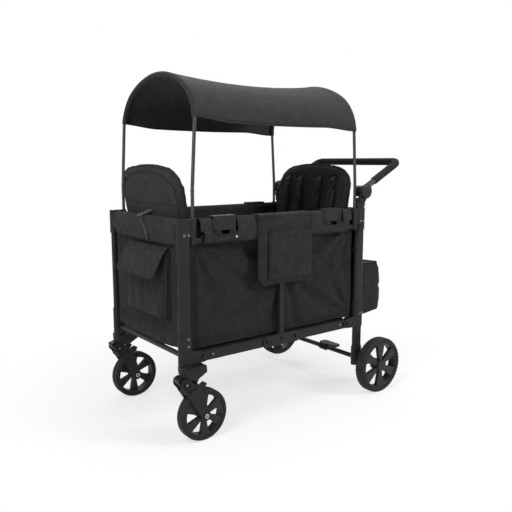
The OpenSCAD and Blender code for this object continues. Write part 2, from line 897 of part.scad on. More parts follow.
module fork_left() {
    color("#222224") left_side() fork();
}

module fork_right() {
    color("#222224") fork();
}

module front_tyre_left() {
    color("#2b2b2d") left_side() tyre(front_axle_x, front_track, front_r, front_tyre_w);
}

module front_tyre_right() {
    color("#2b2b2d") tyre(front_axle_x, front_track, front_r, front_tyre_w);
}

module front_rim_left() {
    color("#242426") left_side() rim(front_axle_x, front_track, front_r, front_tyre_w, axle_bolt_d, 0);
}

module front_rim_right() {
    color("#242426") rim(front_axle_x, front_track, front_r, front_tyre_w, axle_bolt_d, 0);
}

module rear_tyre_left() {
    color("#2b2b2d") left_side() tyre(rear_axle_x, rear_track, rear_r, rear_tyre_w);
}

module rear_tyre_right() {
    color("#2b2b2d") tyre(rear_axle_x, rear_track, rear_r, rear_tyre_w);
}

module rear_rim_left() {
    color("#242426") left_side() rim(rear_axle_x, rear_track, rear_r, rear_tyre_w, stub_d, hub_cap);
}

module rear_rim_right() {
    color("#242426") rim(rear_axle_x, rear_track, rear_r, rear_tyre_w, stub_d, hub_cap);
}

// Canopy

// Arc of rod in the arch plane around a centre at [y, z]
module rod_arc(centre, r, from, to) {
    translate([0, centre[0], centre[1]]) rotate([90, 0, 90]) rotate(from)
        rotate_extrude(angle = to - from, $fn = 96) translate([r, 0]) circle(d = rod_d, $fn = 32);
}

// Two rods joined by an arch, drawn at the rear
module arch() {
    both_sides() {
        translate([rod_x, rod_y, rod_z])
            cylinder(d = rod_d, h = rod_bend_z - bend_half - rod_z, $fn = 32);
        translate([rod_x, rod_y, rod_bend_z]) sphere(d = bend_ball_d);
    }
    translate([rod_x, 0, rod_bend_z]) rotate([0, -rod_lean, 0]) {
        both_sides() {
            translate([0, rod_y, bend_half])
                cylinder(d = rod_d, h = shoulder_z - bend_half, $fn = 32);
            rod_arc([rod_y - arch_shoulder_r, shoulder_z], arch_shoulder_r, 0, shoulder_angle);
        }
        rod_arc([0, shoulder_z - shoulder_reach*sin(shoulder_angle)], crown_r,
            shoulder_angle, 180 - shoulder_angle);
    }
}

// Half outline of the cloth over an arch from hem to ridge, as [y, height above the bend]
function half_outline(off) = let (
    hem_angle = asin(((hem_z - rod_bend_z)/cos(rod_lean) - shoulder_z)/(arch_shoulder_r + off)),
    crown_h = shoulder_z - shoulder_reach*sin(shoulder_angle)
) concat(
    [for (i = [0:6]) let (a = hem_angle + (shoulder_angle - hem_angle)*i/6, r = arch_shoulder_r + off)
        [rod_y - arch_shoulder_r + (a > 0 ? r*cos(a) : r), shoulder_z + r*sin(a)]],
    [for (i = [1:6]) let (a = shoulder_angle + (90 - shoulder_angle)*i/6)
        [(crown_r + off)*cos(a), crown_h + (crown_r + off)*sin(a)]]);

function outline(off) = let (half = half_outline(off), n = len(half)) concat(
    [for (p = half) [-p[0], p[1]]],
    [for (i = [n - 2:-1:0]) half[i]]);

// Stations along the canopy; the cloth lies flat on the rods beyond the last sagging one
cloth_flat = 0.95;
cloth_reach = 10;
stations = concat([-1], [for (i = [-6:6]) cloth_flat*i/6], [1]);

function cloth_points(off) = [for (u = stations, p = outline(off)) let (
    slack = max(0, 1 - pow(u/cloth_flat, 2)),
    over = 1 - 0.7*abs(p[0])/rod_y
) [u*(rod_x - p[1]*sin(rod_lean) + cloth_reach),
    p[0]*(1 - 0.02*slack),
    rod_bend_z + p[1]*cos(rod_lean) - ridge_sag*slack*over]];

module front_arch() {
    color("#6e6e70") from_mid() front_end() arch();
}

module rear_arch() {
    color("#6e6e70") from_mid() arch();
}

module canopy_fabric() {
    off = rod_d/2 + 0.9;
    color("#414143") from_mid() between_grids(cloth_points(off + cloth_t), cloth_points(off),
        len(stations), len(outline(off)));
}

// Twist collar under a rod clamp, drawn at the rear right
module twist_collar() {
    h = clamp_z - twist_z - run_gap;
    translate([rod_x, rod_y, twist_z]) difference() {
        union() {
            cylinder(d = clamp_d, h = h);
            translate([-tab_len, -tab_w/2, 4]) cube([tab_len, tab_w, h - 10]);
        }
        translate([0, 0, -eps]) cylinder(d = rod_d + 2*rod_gap, h = h + 2*eps);
    }
}

module collar_front_left() {
    color("#19191b") from_mid() front_end() left_side() twist_collar();
}

module collar_front_right() {
    color("#19191b") from_mid() front_end() twist_collar();
}

module collar_rear_left() {
    color("#19191b") from_mid() left_side() twist_collar();
}

module collar_rear_right() {
    color("#19191b") from_mid() twist_collar();
}

// Cloth tub

// Cloth side with its main folds, drawn on the right
function side_wave(x, z) = let (h = (z - tub_z)/(collar_z - tub_z))
    fold_depth*sin(180*h)*(sin(360*x/fold_pitch) + 0.6*sin(360*(x + 0.5*z)/(0.63*fold_pitch)))/1.6;

side_rows = 10;
side_columns = 34;

function side_points(y) = [for (i = [0:side_rows - 1], j = [0:side_columns - 1]) let (
    z = tub_z + (collar_z + sheet_t/2 - tub_z)*i/(side_rows - 1),
    x = -side_half + 2*side_half*j/(side_columns - 1)
) [x, y + side_wave(x, z), z]];

module side_fabric() {
    depth = collar_out_y + sheet_t - collar_in_y;
    height = collar_top_z - collar_z;
    between_grids(side_points(side_y + sheet_t/2), side_points(side_y - sheet_t/2),
                  side_rows, side_columns);
    difference() {
        translate([-collar_half, collar_in_y, collar_z])
            cube([2*collar_half, depth, height]);
        translate([-collar_half - eps, collar_in_y + sheet_t, collar_z + sheet_t])
            cube([2*collar_half + 1, depth - 2*sheet_t, height - 2*sheet_t]);
        translate([-collar_half - eps, collar_in_y + sheet_t, collar_z - eps])
            cube([2*collar_half + 1, side_y - sheet_t/2 - collar_in_y - sheet_t, 2*sheet_t]);
        for (x = [-hook_x, hook_x])
            translate([x - hook_len/2 - hook_clear, collar_in_y + sheet_t,
                       upper_pivot_z + hook_up - hook_h/2 - hook_clear])
                cube([hook_len + 2*hook_clear, collar_out_y, 2*hook_h]);
        translate([-centre_post_w/2 - 1, side_y + sheet_t/2, collar_z - 1])
            cube([centre_post_w + 2, collar_out_y - side_y - sheet_t/2 - 0.5, 2*sheet_t]);
    }
}

module side_fabrics() {
    color("#252527") from_mid() both_sides() side_fabric();
}

// Cloth end with its collar around the top tube, drawn at the rear
module end_panel() {
    difference() {
        translate([end_in_x, -end_half, collar_z])
            cube([end_out_x - end_in_x, 2*end_half, collar_top_z - collar_z]);
        translate([end_in_x + sheet_t, -end_half - eps, collar_z + sheet_t])
            cube([end_out_x - end_in_x - 2*sheet_t, 2*end_half + 1, collar_top_z - collar_z - 2*sheet_t]);
        translate([end_in_x + sheet_t, -end_half - eps, collar_z - eps])
            cube([panel_x - sheet_t/2 - end_in_x - sheet_t, 2*end_half + 1, 2*sheet_t]);
    }
    translate([panel_x - sheet_t/2, -end_half, tub_z])
        cube([sheet_t, 2*end_half, collar_z + sheet_t - tub_z]);
}

module front_panel() {
    color("#252527") from_mid() front_end() end_panel();
}

module rear_panel() {
    color("#252527") from_mid() end_panel();
}

// Slab standing across the wagon, from a shape drawn in Y and Z
module along_x(x0, x1) {
    translate([x0, 0, 0]) rotate([90, 0, 90]) linear_extrude(x1 - x0) children();
}

module front_pocket() {
    color("#29292b") from_mid() front_end() along_x(panel_x + sheet_t/2, pocket_face_x)
        translate([pocket_off, pocket_top_z - pocket_h/2]) round_square(pocket_w, pocket_h, pocket_r);
}

module front_pocket_flap() {
    color("#2c2c2e") from_mid() front_end()
        along_x(pocket_face_x + seat_gap, pocket_face_x + seat_gap + flap_t)
            translate([pocket_off, pocket_top_z]) polygon([
                [-pocket_w/2 + 14, 0], [pocket_w/2 - 14, 0], [pocket_w/2 - 2, -flap_h*0.3],
                [pocket_w/2 - 44, -flap_h + 10], [pocket_w/2 - 56, -flap_h],
                [56 - pocket_w/2, -flap_h], [44 - pocket_w/2, 10 - flap_h], [2 - pocket_w/2, -flap_h*0.3]]);
}

module rear_bag() {
    color("#29292b") from_mid() translate([panel_x + sheet_t/2 + bag_depth/2, 0, bag_z])
        linear_extrude(bag_h) round_square(bag_depth, 2*bag_half, bag_r);
}

// Bag that hangs over the left collar at the middle
module side_organizer() {
    out_y = collar_out_y + sheet_t + seat_gap;
    in_y = collar_in_y - seat_gap;
    mid = organizer_off;
    color("#2c2c2e") from_mid() left_side() {
        across(out_y, out_y + organizer_t) {
            translate([mid - organizer_w/2, organizer_z + organizer_r])
                square([organizer_w, collar_top_z + seat_gap - organizer_z - organizer_r]);
            translate([mid - organizer_w/2 + organizer_r, organizer_z])
                square([organizer_w - 2*organizer_r, 2*organizer_r]);
            for (x = [mid - organizer_w/2 + organizer_r, mid + organizer_w/2 - organizer_r])
                translate([x, organizer_z + organizer_r]) circle(r = organizer_r);
        }
        translate([mid - organizer_w/2, in_y - sheet_t, collar_top_z + seat_gap])
            cube([organizer_w, out_y + organizer_t - in_y + sheet_t, sheet_t]);
        translate([mid - organizer_w/2, in_y - sheet_t, collar_z + 25])
            cube([organizer_w, sheet_t, collar_top_z - collar_z - 25 + sheet_t]);
    }
}

// Seats

// Half width of a cushion at a distance s along it, drawn in between its ends,
// with end corners r[0] across and r[1] along
function cushion_half(s, length, w, r) = let (near_end = max(0, s - (length - r[1]))/r[1])
    w/2 - r[0]*(1 - sqrt(max(0, 1 - near_end*near_end))) - draw_in*(1 - pow(2*s/length - 1, 2));

cushion_rows = 15;
cushion_columns = 19;

// Grid of one face of a cushion, side 1 for the crowned face and -1 for the back
function cushion_points(length, w, r, bow, t, crown, side) =
    [for (i = [0:cushion_rows - 1], j = [0:cushion_columns - 1]) let (
        u = 2*i/(cushion_rows - 1) - 1,
        v = 2*j/(cushion_columns - 1) - 1,
        s = length*(1 + sin(90*u))/2,
        full = (1 - pow(abs(sin(90*u)), 6))*(1 - pow(abs(sin(90*v)), 6))
    ) [s - bow*max(0, sin(90*u))*pow(sin(90*v), 2), sin(90*v)*cushion_half(s, length, w, r),
        side*t*(0.5 - crown*(1 - full))]];

// Cushion along X from 0, half its thickness on each side of Z = 0, its far edge bowed
module cushion(length, w, r, bow, t) {
    between_grids(cushion_points(length, w, r, bow, t, 0.3, 1),
        cushion_points(length, w, r, bow, t, 0.15, -1), cushion_rows, cushion_columns);
}

module seat_pin_holes(x, z) {
    both_sides() bar_y(x, z, bolt_d + 2*open_gap, seat_arm_y - seat_pin - 2, seat_arm_y + eps);
}

module seat_pan() {
    difference() {
        translate([pan_x, 0, seat_z - pan_t/2]) mirror([1, 0, 0])
            cushion(pan_depth, seat_w, pan_corner, 0, pan_t);
        seat_pin_holes(pan_axis_x, pan_axis_z);
    }
}

module seat_back() {
    difference() {
        translate([back_pivot_x, 0, back_pivot_z]) rotate([0, back_lean - 90, 0])
            translate([-back_below, 0, 0])
                cushion(back_len + back_below, seat_w, back_corner, back_bow, back_t);
        seat_pin_holes(back_pivot_x, back_pivot_z);
    }
}

module front_seat_pan() {
    color("#2a2a2c") from_mid() front_end() seat_pan();
}

module rear_seat_pan() {
    color("#2a2a2c") from_mid() seat_pan();
}

module front_seat_back() {
    color("#2e2e30") from_mid() front_end() seat_back();
}

module rear_seat_back() {
    color("#2e2e30") from_mid() seat_back();
}

front_posts();
front_cross_tubes();
front_corner_caps();
front_hinge_lugs();
front_bolts();
front_panel();
front_pocket();
front_pocket_flap();
side_fabrics();
front_lower_rails();
front_floor_board();
front_upper_rails();
front_rail_hooks();
centre_plates();
centre_posts();
centre_bolts();
centre_floor_board();
side_organizer();
rear_lower_rails();
rear_floor_board();
rear_upper_rails();
rear_rail_hooks();
rear_posts();
rear_cross_tubes();
rear_corner_caps();
rear_hinge_lugs();
rear_bolts();
rear_panel();
rear_bag();
rear_axle();
handle_hinge_hubs();
handle_bar();
handle_grip();
handle_button_left();
handle_button_right();
fold_latch();
brake_pedal();
front_arch();
rear_arch();
canopy_fabric();
collar_front_left();
collar_front_right();
collar_rear_left();
collar_rear_right();
front_seat_pan();
rear_seat_pan();
front_seat_back();
rear_seat_back();
caster_yoke_left();
caster_yoke_right();
fork_left();
fork_right();
front_tyre_left();
front_tyre_right();
front_rim_left();
front_rim_right();
rear_tyre_left();
rear_tyre_right();
rear_rim_left();
rear_rim_right();
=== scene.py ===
import math
import bmesh
import bpy
from mathutils import Matrix, Vector, noise
from mathutils.bvhtree import BVHTree


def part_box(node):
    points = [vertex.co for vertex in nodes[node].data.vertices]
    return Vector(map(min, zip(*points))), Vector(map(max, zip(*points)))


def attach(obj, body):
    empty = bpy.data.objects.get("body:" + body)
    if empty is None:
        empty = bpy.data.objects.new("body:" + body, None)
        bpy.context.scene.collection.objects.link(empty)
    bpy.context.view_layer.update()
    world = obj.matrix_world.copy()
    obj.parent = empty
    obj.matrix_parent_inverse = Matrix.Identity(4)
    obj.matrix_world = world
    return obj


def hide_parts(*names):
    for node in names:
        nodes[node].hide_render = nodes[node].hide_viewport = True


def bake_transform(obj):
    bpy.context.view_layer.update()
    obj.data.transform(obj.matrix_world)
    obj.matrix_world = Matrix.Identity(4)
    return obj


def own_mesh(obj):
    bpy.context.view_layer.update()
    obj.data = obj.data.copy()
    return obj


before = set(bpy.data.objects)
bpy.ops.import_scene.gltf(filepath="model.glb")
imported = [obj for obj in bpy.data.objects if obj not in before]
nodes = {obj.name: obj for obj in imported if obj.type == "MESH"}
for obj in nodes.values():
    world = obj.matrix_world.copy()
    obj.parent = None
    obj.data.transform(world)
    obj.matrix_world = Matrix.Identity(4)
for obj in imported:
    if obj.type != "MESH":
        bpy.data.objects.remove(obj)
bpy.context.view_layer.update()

scene = bpy.context.scene
bothSides = ((-1, "Left"), (1, "Right"))
white = (1, 1, 1, 1)

# the wagon's middle lies half way between the posts, and every place below is counted from there
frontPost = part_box("front_posts")
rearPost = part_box("rear_posts")
midX = (frontPost[0].x + frontPost[1].x + rearPost[0].x + rearPost[1].x) / 4
print("frame loaded", len(nodes), "nodes, middle at", round(midX, 4))


# camera, floor and light

cameraSet = dict(place=(-1.6708, -2.1400, 1.0404), target=(-0.0230, 0.0, 0.6225), lens=42.95,
                 sensor=36.0)


def addObject(name, data):
    o = bpy.data.objects.new(name, data)
    scene.collection.objects.link(o)
    return o


def aimAt(o, spot, target):
    o.location, o.rotation_mode = spot, "QUATERNION"
    o.rotation_quaternion = (Vector(target) - Vector(spot)).to_track_quat("-Z", "Y")


def setCamera(c):
    data = bpy.data.cameras.new("photoCamera")
    data.lens, data.sensor_width = c["lens"], c["sensor"]
    scene.camera = addObject("photoCamera", data)
    aimAt(scene.camera, c["place"], c["target"])


def addNode(tree, kind, values=None, **settings):
    n = tree.nodes.new(kind)
    for key, value in settings.items():
        setattr(n, key, value)
    return fillInputs(tree, n, values or {})


def fillInputs(tree, n, values):
    for key, value in values.items():
        if isinstance(value, bpy.types.NodeSocket):
            tree.links.new(value, n.inputs[key])
        else:
            n.inputs[key].default_value = value
    return n


def calc(t, operation, *values):
    return addNode(t, "ShaderNodeMath", dict(enumerate(values)), operation=operation).outputs[0]


def remap(t, value, low=0.0, high=1.0, first=0.0, last=1.0, kind="LINEAR"):
    values = {"Value": value, "From Min": low, "From Max": high, "To Min": first, "To Max": last}
    return addNode(t, "ShaderNodeMapRange", values, interpolation_type=kind).outputs[0]


def objectCoords(t):
    return addNode(t, "ShaderNodeTexCoord").outputs["Object"]


def emptyTree(owner):
    owner.use_nodes = True
    owner.node_tree.nodes.clear()
    return owner.node_tree


# each lamp has its name, place, size and power
studio = dict(
    worldLight=0.14, aimZ=0.6, floorSize=16.0, floorColour=(0.90, 0.90, 0.90, 1), shade=0.30,
    whiteFrom=0.6, whiteTo=1.4,
    lamps=[
        ("keyLamp", (1.9, -3.0, 2.7), 1.3, 104),
        ("sideLamp", (-2.5, -0.9, 3.2), 1.2, 62),
        ("fillLamp", (-3.3, -1.5, 1.3), 1.4, 24),
        ("topLamp", (0.3, 0.2, 4.2), 2.4, 64),
        ("backLamp", (1.2, 3.4, 2.6), 2.4, 26),
    ],
)


def shownRays(t):
    # rays that see the white background: the camera's own, and those in gloss and glass
    path = addNode(t, "ShaderNodeLightPath")
    seen = path.outputs["Is Camera Ray"]
    for kind in ("Is Glossy Ray", "Is Transmission Ray"):
        seen = calc(t, "MAXIMUM", seen, path.outputs[kind])
    return seen


def setStudio(s):
    scene.world = bpy.data.worlds.new("studioWorld")
    t = emptyTree(scene.world)
    level = remap(t, shownRays(t), first=s["worldLight"])
    back = addNode(t, "ShaderNodeBackground", {"Color": white, "Strength": level})
    addNode(t, "ShaderNodeOutputWorld", {"Surface": back.outputs[0]})
    for name, spot, size, power in s["lamps"]:
        lamp = bpy.data.lights.new(name, "AREA")
        lamp.shape, lamp.size, lamp.energy = "DISK", size, power
        aimAt(addObject(name, lamp), spot, (midX, 0, s["aimZ"]))
    bm = bmesh.new()
    bmesh.ops.create_grid(bm, x_segments=2, y_segments=2, size=s["floorSize"] / 2)
    mesh = bpy.data.meshes.new("studioFloor")
    bm.to_mesh(mesh)
    bm.free()
    floor = addObject("studioFloor", mesh)
    mat = bpy.data.materials.new("floorPaper")
    t = emptyTree(mat)
    far = addNode(t, "ShaderNodeVectorMath", {0: objectCoords(t)}, operation="LENGTH")
    fade = remap(t, far.outputs["Value"], s["whiteFrom"], s["whiteTo"], 1 - s["shade"],
                 kind="SMOOTHSTEP")
    shown = calc(t, "MULTIPLY", fade, shownRays(t))
    paper = addNode(t, "ShaderNodeBsdfDiffuse", {"Color": s["floorColour"]})
    glow = addNode(t, "ShaderNodeEmission", {"Color": white, "Strength": 1.0})
    mix = addNode(t, "ShaderNodeMixShader", {0: shown, 1: paper.outputs[0], 2: glow.outputs[0]})
    addNode(t, "ShaderNodeOutputMaterial", {"Surface": mix.outputs[0]})
    mesh.materials.append(mat)


scene.view_settings.view_transform = "Standard"
setCamera(cameraSet)
setStudio(studio)
print("camera and studio set")


# effects that several finishes share

weaveSet = dict(threads=5200.0, fuzz=0.35, span=1.5, fibre=900.0, slub=38.0)
creaseSet = dict(scale=16.0, twist=1.5, ridge=0.22)
grainSet = dict(grain=1800.0, rub=14.0, rubEdge=0.62, rubWide=0.16)


def nodeGroup(name, inputs, outputs):
    group = bpy.data.node_groups.new(name, "ShaderNodeTree")
    face = group.interface
    for label, value in inputs.items():
        socket = face.new_socket(label, in_out="INPUT", socket_type="NodeSocketFloat")
        socket.default_value = value
    for label in outputs:
        face.new_socket(label, in_out="OUTPUT", socket_type="NodeSocketFloat")
    start, end = group.nodes.new("NodeGroupInput"), group.nodes.new("NodeGroupOutput")
    return group, start.outputs, end


def noiseNode(t, spot, scale, detail, **more):
    values = {"Vector": spot, "Scale": scale, "Detail": detail, **more}
    return addNode(t, "ShaderNodeTexNoise", values).outputs["Fac"]


def weaveGroup(w):
    # crossing threads on the three object axes, with fibre noise
    g, given, end = nodeGroup("threadWeave", {"Threads": w["threads"], "Fuzz": w["fuzz"]},
                              ["Height", "Shade"])
    spot = objectCoords(g)
    scaled = addNode(g, "ShaderNodeVectorMath", {0: spot, "Scale": given["Threads"]},
                     operation="SCALE")
    waves = addNode(g, "ShaderNodeVectorMath", {0: scaled.outputs[0]}, operation="SINE")
    x, y, z = addNode(g, "ShaderNodeSeparateXYZ", {0: waves.outputs[0]}).outputs
    xy, yz = calc(g, "MULTIPLY", x, y), calc(g, "MULTIPLY", y, z)
    cross = calc(g, "ADD", calc(g, "MULTIPLY_ADD", z, x, xy), yz)
    threads = remap(g, cross, -w["span"], w["span"])
    fibre = noiseNode(g, spot, w["fibre"], 3.0)
    slub = noiseNode(g, spot, w["slub"], 4.0)
    shade = calc(g, "MULTIPLY", calc(g, "MULTIPLY_ADD", fibre, given["Fuzz"], threads), slub)
    fillInputs(g, end, {"Height": threads, "Shade": shade})
    return g


def creaseGroup(c):
    # small slack creases that no mesh is fine enough for
    g, given, end = nodeGroup("slackCrease", {"Scale": c["scale"], "Twist": c["twist"]}, ["Height"])
    broad = noiseNode(g, objectCoords(g), given["Scale"], 2.0, Distortion=given["Twist"])
    fold = calc(g, "ABSOLUTE", calc(g, "SUBTRACT", broad, 0.5))
    fillInputs(g, end, {"Height": remap(g, fold, 0.0, c["ridge"], 1.0, 0.0, "SMOOTHSTEP")})
    return g


def grainGroup(s):
    # fine pebble of powder coat and moulded skins, with a broad rub mask
    inputs = {"Grain": s["grain"], "Rub": s["rub"], "Rub Edge": s["rubEdge"]}
    g, given, end = nodeGroup("skinGrain", inputs, ["Height", "Rub", "Cloud"])
    spot = objectCoords(g)
    grain = noiseNode(g, spot, given["Grain"], 2.0)
    broad = noiseNode(g, spot, given["Rub"], 6.0, Roughness=0.65)
    edge = calc(g, "ADD", given["Rub Edge"], s["rubWide"])
    rub = remap(g, broad, given["Rub Edge"], edge, kind="SMOOTHSTEP")
    fillInputs(g, end, {"Height": grain, "Rub": rub, "Cloud": broad})
    return g


groups = dict(weave=weaveGroup(weaveSet), crease=creaseGroup(creaseSet), grain=grainGroup(grainSet))


def useGroup(t, key, values):
    return addNode(t, "ShaderNodeGroup", values, node_tree=groups[key]).outputs


def startMaterial(name):
    mat = bpy.data.materials.new(name)
    mat.use_nodes = True
    return mat, mat.node_tree, mat.node_tree.nodes["Principled BSDF"]


def mixColour(t, mask, first, second):
    m = addNode(t, "ShaderNodeMix", data_type="RGBA")
    return fillInputs(t, m, {0: mask, 6: (*first, 1), 7: (*second, 1)}).outputs[2]


def bumpNode(t, strength, distance, height, **more):
    values = {"Strength": strength, "Distance": distance, "Height": height, **more}
    return addNode(t, "ShaderNodeBump", values).outputs[0]


def clothFinish(name, dark, light, threads=5200, fuzz=0.35, relief=0.5, crease=16, creaseDeep=0.25,
                rough=0.86, sheen=0.03):
    mat, t, skin = startMaterial(name)
    weave = useGroup(t, "weave", {"Threads": threads, "Fuzz": fuzz})
    fold = useGroup(t, "crease", {"Scale": crease})
    slack = bumpNode(t, creaseDeep, 0.004, fold["Height"])
    fillInputs(t, skin, {
        "Base Color": mixColour(t, weave["Shade"], dark, light),
        "Normal": bumpNode(t, relief, 0.0005, weave["Height"], Normal=slack),
        "Roughness": remap(t, weave["Shade"], first=rough, last=rough - 0.16),
        "Specular IOR Level": 0.10, "Sheen Weight": sheen, "Sheen Roughness": 0.45})
    return mat


def skinFinish(name, base, rubbed, grain=1800, rub=14, rubEdge=0.62, relief=0.2, deep=0.0004,
               rough=(0.36, 0.52), metallic=0.0, gloss=0.20):
    mat, t, skin = startMaterial(name)
    g = useGroup(t, "grain", {"Grain": grain, "Rub": rub, "Rub Edge": rubEdge})
    fillInputs(t, skin, {
        "Base Color": mixColour(t, g["Rub"], base, rubbed),
        "Roughness": remap(t, g["Cloud"], 0.3, 0.7, *rough),
        "Normal": bumpNode(t, relief, deep, g["Height"]),
        "Metallic": metallic, "Specular IOR Level": gloss})
    return mat


skins = dict(
    powderCoat=dict(base=(0.013, 0.0128, 0.014), rubbed=(0.024, 0.0238, 0.026), grain=1500,
                    rough=(0.34, 0.46)),
    mouldedBlack=dict(base=(0.012, 0.012, 0.013), rubbed=(0.022, 0.022, 0.023), grain=2600,
                      relief=0.35, rough=(0.44, 0.58)),
    rimBlack=dict(base=(0.020, 0.020, 0.021), rubbed=(0.042, 0.041, 0.040), grain=2100,
                  relief=0.25, rough=(0.42, 0.56)),
    tyreRubber=dict(base=(0.017, 0.017, 0.017), rubbed=(0.045, 0.044, 0.042), grain=900, rub=26,
                    rubEdge=0.56, relief=0.4, deep=0.0006, rough=(0.66, 0.82)),
    boltBronze=dict(base=(0.20, 0.135, 0.11), rubbed=(0.12, 0.082, 0.068), grain=700, rub=90,
                    relief=0.12, rough=(0.28, 0.40), metallic=1.0),
    blackBolt=dict(base=(0.020, 0.018, 0.017), rubbed=(0.075, 0.056, 0.048), grain=700, rub=70,
                   rubEdge=0.5, relief=0.12, rough=(0.30, 0.42), metallic=0.6),
    rodMetal=dict(base=(0.050, 0.050, 0.052), rubbed=(0.036, 0.036, 0.038), grain=1300, rub=30,
                  relief=0.1, rough=(0.30, 0.42), metallic=1.0),
    gripFoam=dict(base=(0.010, 0.010, 0.010), rubbed=(0.022, 0.022, 0.022), grain=620, rub=40,
                  relief=0.6, deep=0.0009, rough=(0.78, 0.92)),
    buckleGrey=dict(base=(0.075, 0.075, 0.078), rubbed=(0.11, 0.11, 0.112), grain=1200,
                    relief=0.15, rough=(0.34, 0.46)),
    snapSteel=dict(base=(0.42, 0.42, 0.41), rubbed=(0.30, 0.30, 0.29), grain=900, rub=90,
                   relief=0.1, rough=(0.26, 0.36), metallic=1.0),
)
cloths = dict(
    tubCloth=dict(dark=(0.009, 0.009, 0.0098), light=(0.034, 0.0336, 0.0372)),
    # the next cloth is tubCloth painted about 1.4 times lighter: a painted highlight for the light
    # falling on the collar tops, the pocket flap and the organizer wrap
    paintedLitCloth=dict(dark=(0.012, 0.012, 0.0130), light=(0.050, 0.0495, 0.0545)),
    bagCloth=dict(dark=(0.010, 0.010, 0.011), light=(0.040, 0.0396, 0.0436), threads=4300,
                  crease=24),
    seatCloth=dict(dark=(0.014, 0.014, 0.0152), light=(0.055, 0.0545, 0.060), threads=4700,
                   crease=30, creaseDeep=0.14),
    canopyCloth=dict(dark=(0.016, 0.016, 0.0168), light=(0.044, 0.043, 0.046), threads=6000,
                     crease=7, creaseDeep=0.08, rough=0.74, sheen=0.05),
    boardCloth=dict(dark=(0.009, 0.009, 0.0095), light=(0.026, 0.026, 0.027), threads=3600,
                    crease=10),
    pipingCloth=dict(dark=(0.011, 0.011, 0.0115), light=(0.036, 0.036, 0.037), threads=3800,
                     crease=80, creaseDeep=0.1),
    webbing=dict(dark=(0.012, 0.012, 0.0125), light=(0.060, 0.060, 0.062), threads=2600,
                 relief=0.8, crease=40, creaseDeep=0.05, rough=0.7),
)
finishes = {name: skinFinish(name, **s) for name, s in skins.items()}
finishes.update({name: clothFinish(name, **c) for name, c in cloths.items()})


def ends(*names):
    return [end + n for n in names for end in ("front_", "rear_")]


def hands(*names):
    return [n + hand for n in names for hand in ("_left", "_right")]


nodeFinish = dict(
    powderCoat=ends("posts", "cross_tubes", "lower_rails", "upper_rails")
    + ["centre_plates", "centre_posts", "rear_axle", "handle_bar"],
    mouldedBlack=ends("corner_caps", "hinge_lugs", "rail_hooks")
    + hands("handle_button", "collar_front", "collar_rear", "caster_yoke", "fork")
    + ["handle_hinge_hubs", "fold_latch", "brake_pedal"],
    rimBlack=hands("front_rim", "rear_rim"),
    tyreRubber=hands("front_tyre", "rear_tyre"),
    blackBolt=ends("bolts") + ["centre_bolts"],
    rodMetal=ends("arch"),
    gripFoam=["handle_grip"],
    boardCloth=ends("floor_board") + ["centre_floor_board"],
)
for finish, names in nodeFinish.items():
    for n in names:
        mesh = nodes[n].data
        mesh.materials.clear()
        mesh.materials.append(finishes[finish])
print("finishes set")


# shared ways of making cloth

def place(x, y, z):
    return Vector((midX + x, y, z))


def ramp(low, high, value):
    t = min(1.0, max(0.0, (value - low) / (high - low)))
    return t * t * (3 - 2 * t)


def cloud(x, y, z, seed=0.0):
    return noise.noise(Vector((x + 17.3 * seed, y - 9.1 * seed, z + 4.7 * seed)))


def closing(u):
    # from -1 to 1, with steps that grow smaller towards both ends
    return math.sin(math.pi / 2 * (2 * u - 1))


def roundedHalf(half, corner, d):
    # half the width of a panel, d past the start of its rounded corner
    return half if d <= 0 else half - corner + math.sqrt(max(0.0, corner ** 2 - d * d))


def groove(d, width):
    return math.exp(-(d / width) ** 2)


def sheetMesh(bm, across, along, shape):
    # a flat grid whose points are moved to shape(u, v), with u and v from 0 to 1
    made = bmesh.ops.create_grid(bm, x_segments=across, y_segments=along, size=0.5)
    for v in made["verts"]:
        v.co = shape(v.co.x + 0.5, v.co.y + 0.5)


def rowLine(shape, n, v):
    return [shape(i / n, v) for i in range(n + 1)]


def columnLine(shape, n, u):
    return [shape(u, i / n) for i in range(n + 1)]


def shifted(points, move):
    return [p + Vector(move) for p in points]


def addTube(bm, points, radius, sides, closed=False):
    curve = bpy.data.curves.new("tubeLine", "CURVE")
    curve.dimensions, curve.bevel_depth, curve.bevel_resolution = "3D", radius, sides
    curve.use_fill_caps = not closed
    line = curve.splines.new("POLY")
    line.points.add(len(points) - 1)
    for p, co in zip(line.points, points):
        p.co = (*co, 1)
    line.use_cyclic_u = closed
    o = addObject("tubeLine", curve)
    mesh = finalMesh(o)
    bm.from_mesh(mesh)
    bpy.data.objects.remove(o)
    bpy.data.curves.remove(curve)
    bpy.data.meshes.remove(mesh)


def finalMesh(o):
    bpy.context.view_layer.update()
    graph = bpy.context.evaluated_depsgraph_get()
    return bpy.data.meshes.new_from_object(o.evaluated_get(graph))


def addSlab(bm, across, along, shape, thick):
    # a sheet with its thickness made at once
    start = set(bm.faces)
    sheetMesh(bm, across, along, shape)
    fresh = [f for f in bm.faces if f not in start]
    bmesh.ops.recalc_face_normals(bm, faces=fresh)
    bmesh.ops.solidify(bm, geom=fresh, thickness=thick)


def addRibbon(bm, points, normals, width, thick):
    # flat webbing along points, lying on its normals
    n = len(points) - 1

    def shape(u, v):
        i = min(n, max(0, round(u * n)))
        ahead = Vector(points[min(n, i + 1)]) - Vector(points[max(0, i - 1)])
        side = ahead.cross(normals[i]).normalized()
        return Vector(points[i]) + side * ((v - 0.5) * width)
    addSlab(bm, n, 3, shape, thick)


def makePiece(bm, name, finish, smooth=True):
    mesh = bpy.data.meshes.new(name)
    bm.to_mesh(mesh)
    bm.free()
    if smooth:
        mesh.polygons.foreach_set("use_smooth", [True] * len(mesh.polygons))
    mesh.materials.append(finishes[finish])
    o = addObject(name, mesh)
    return o


def thicken(o, thick):
    m = o.modifiers.new("clothThickness", "SOLIDIFY")
    m.thickness, m.offset, m.use_even_offset = thick, 0.0, True
    return o


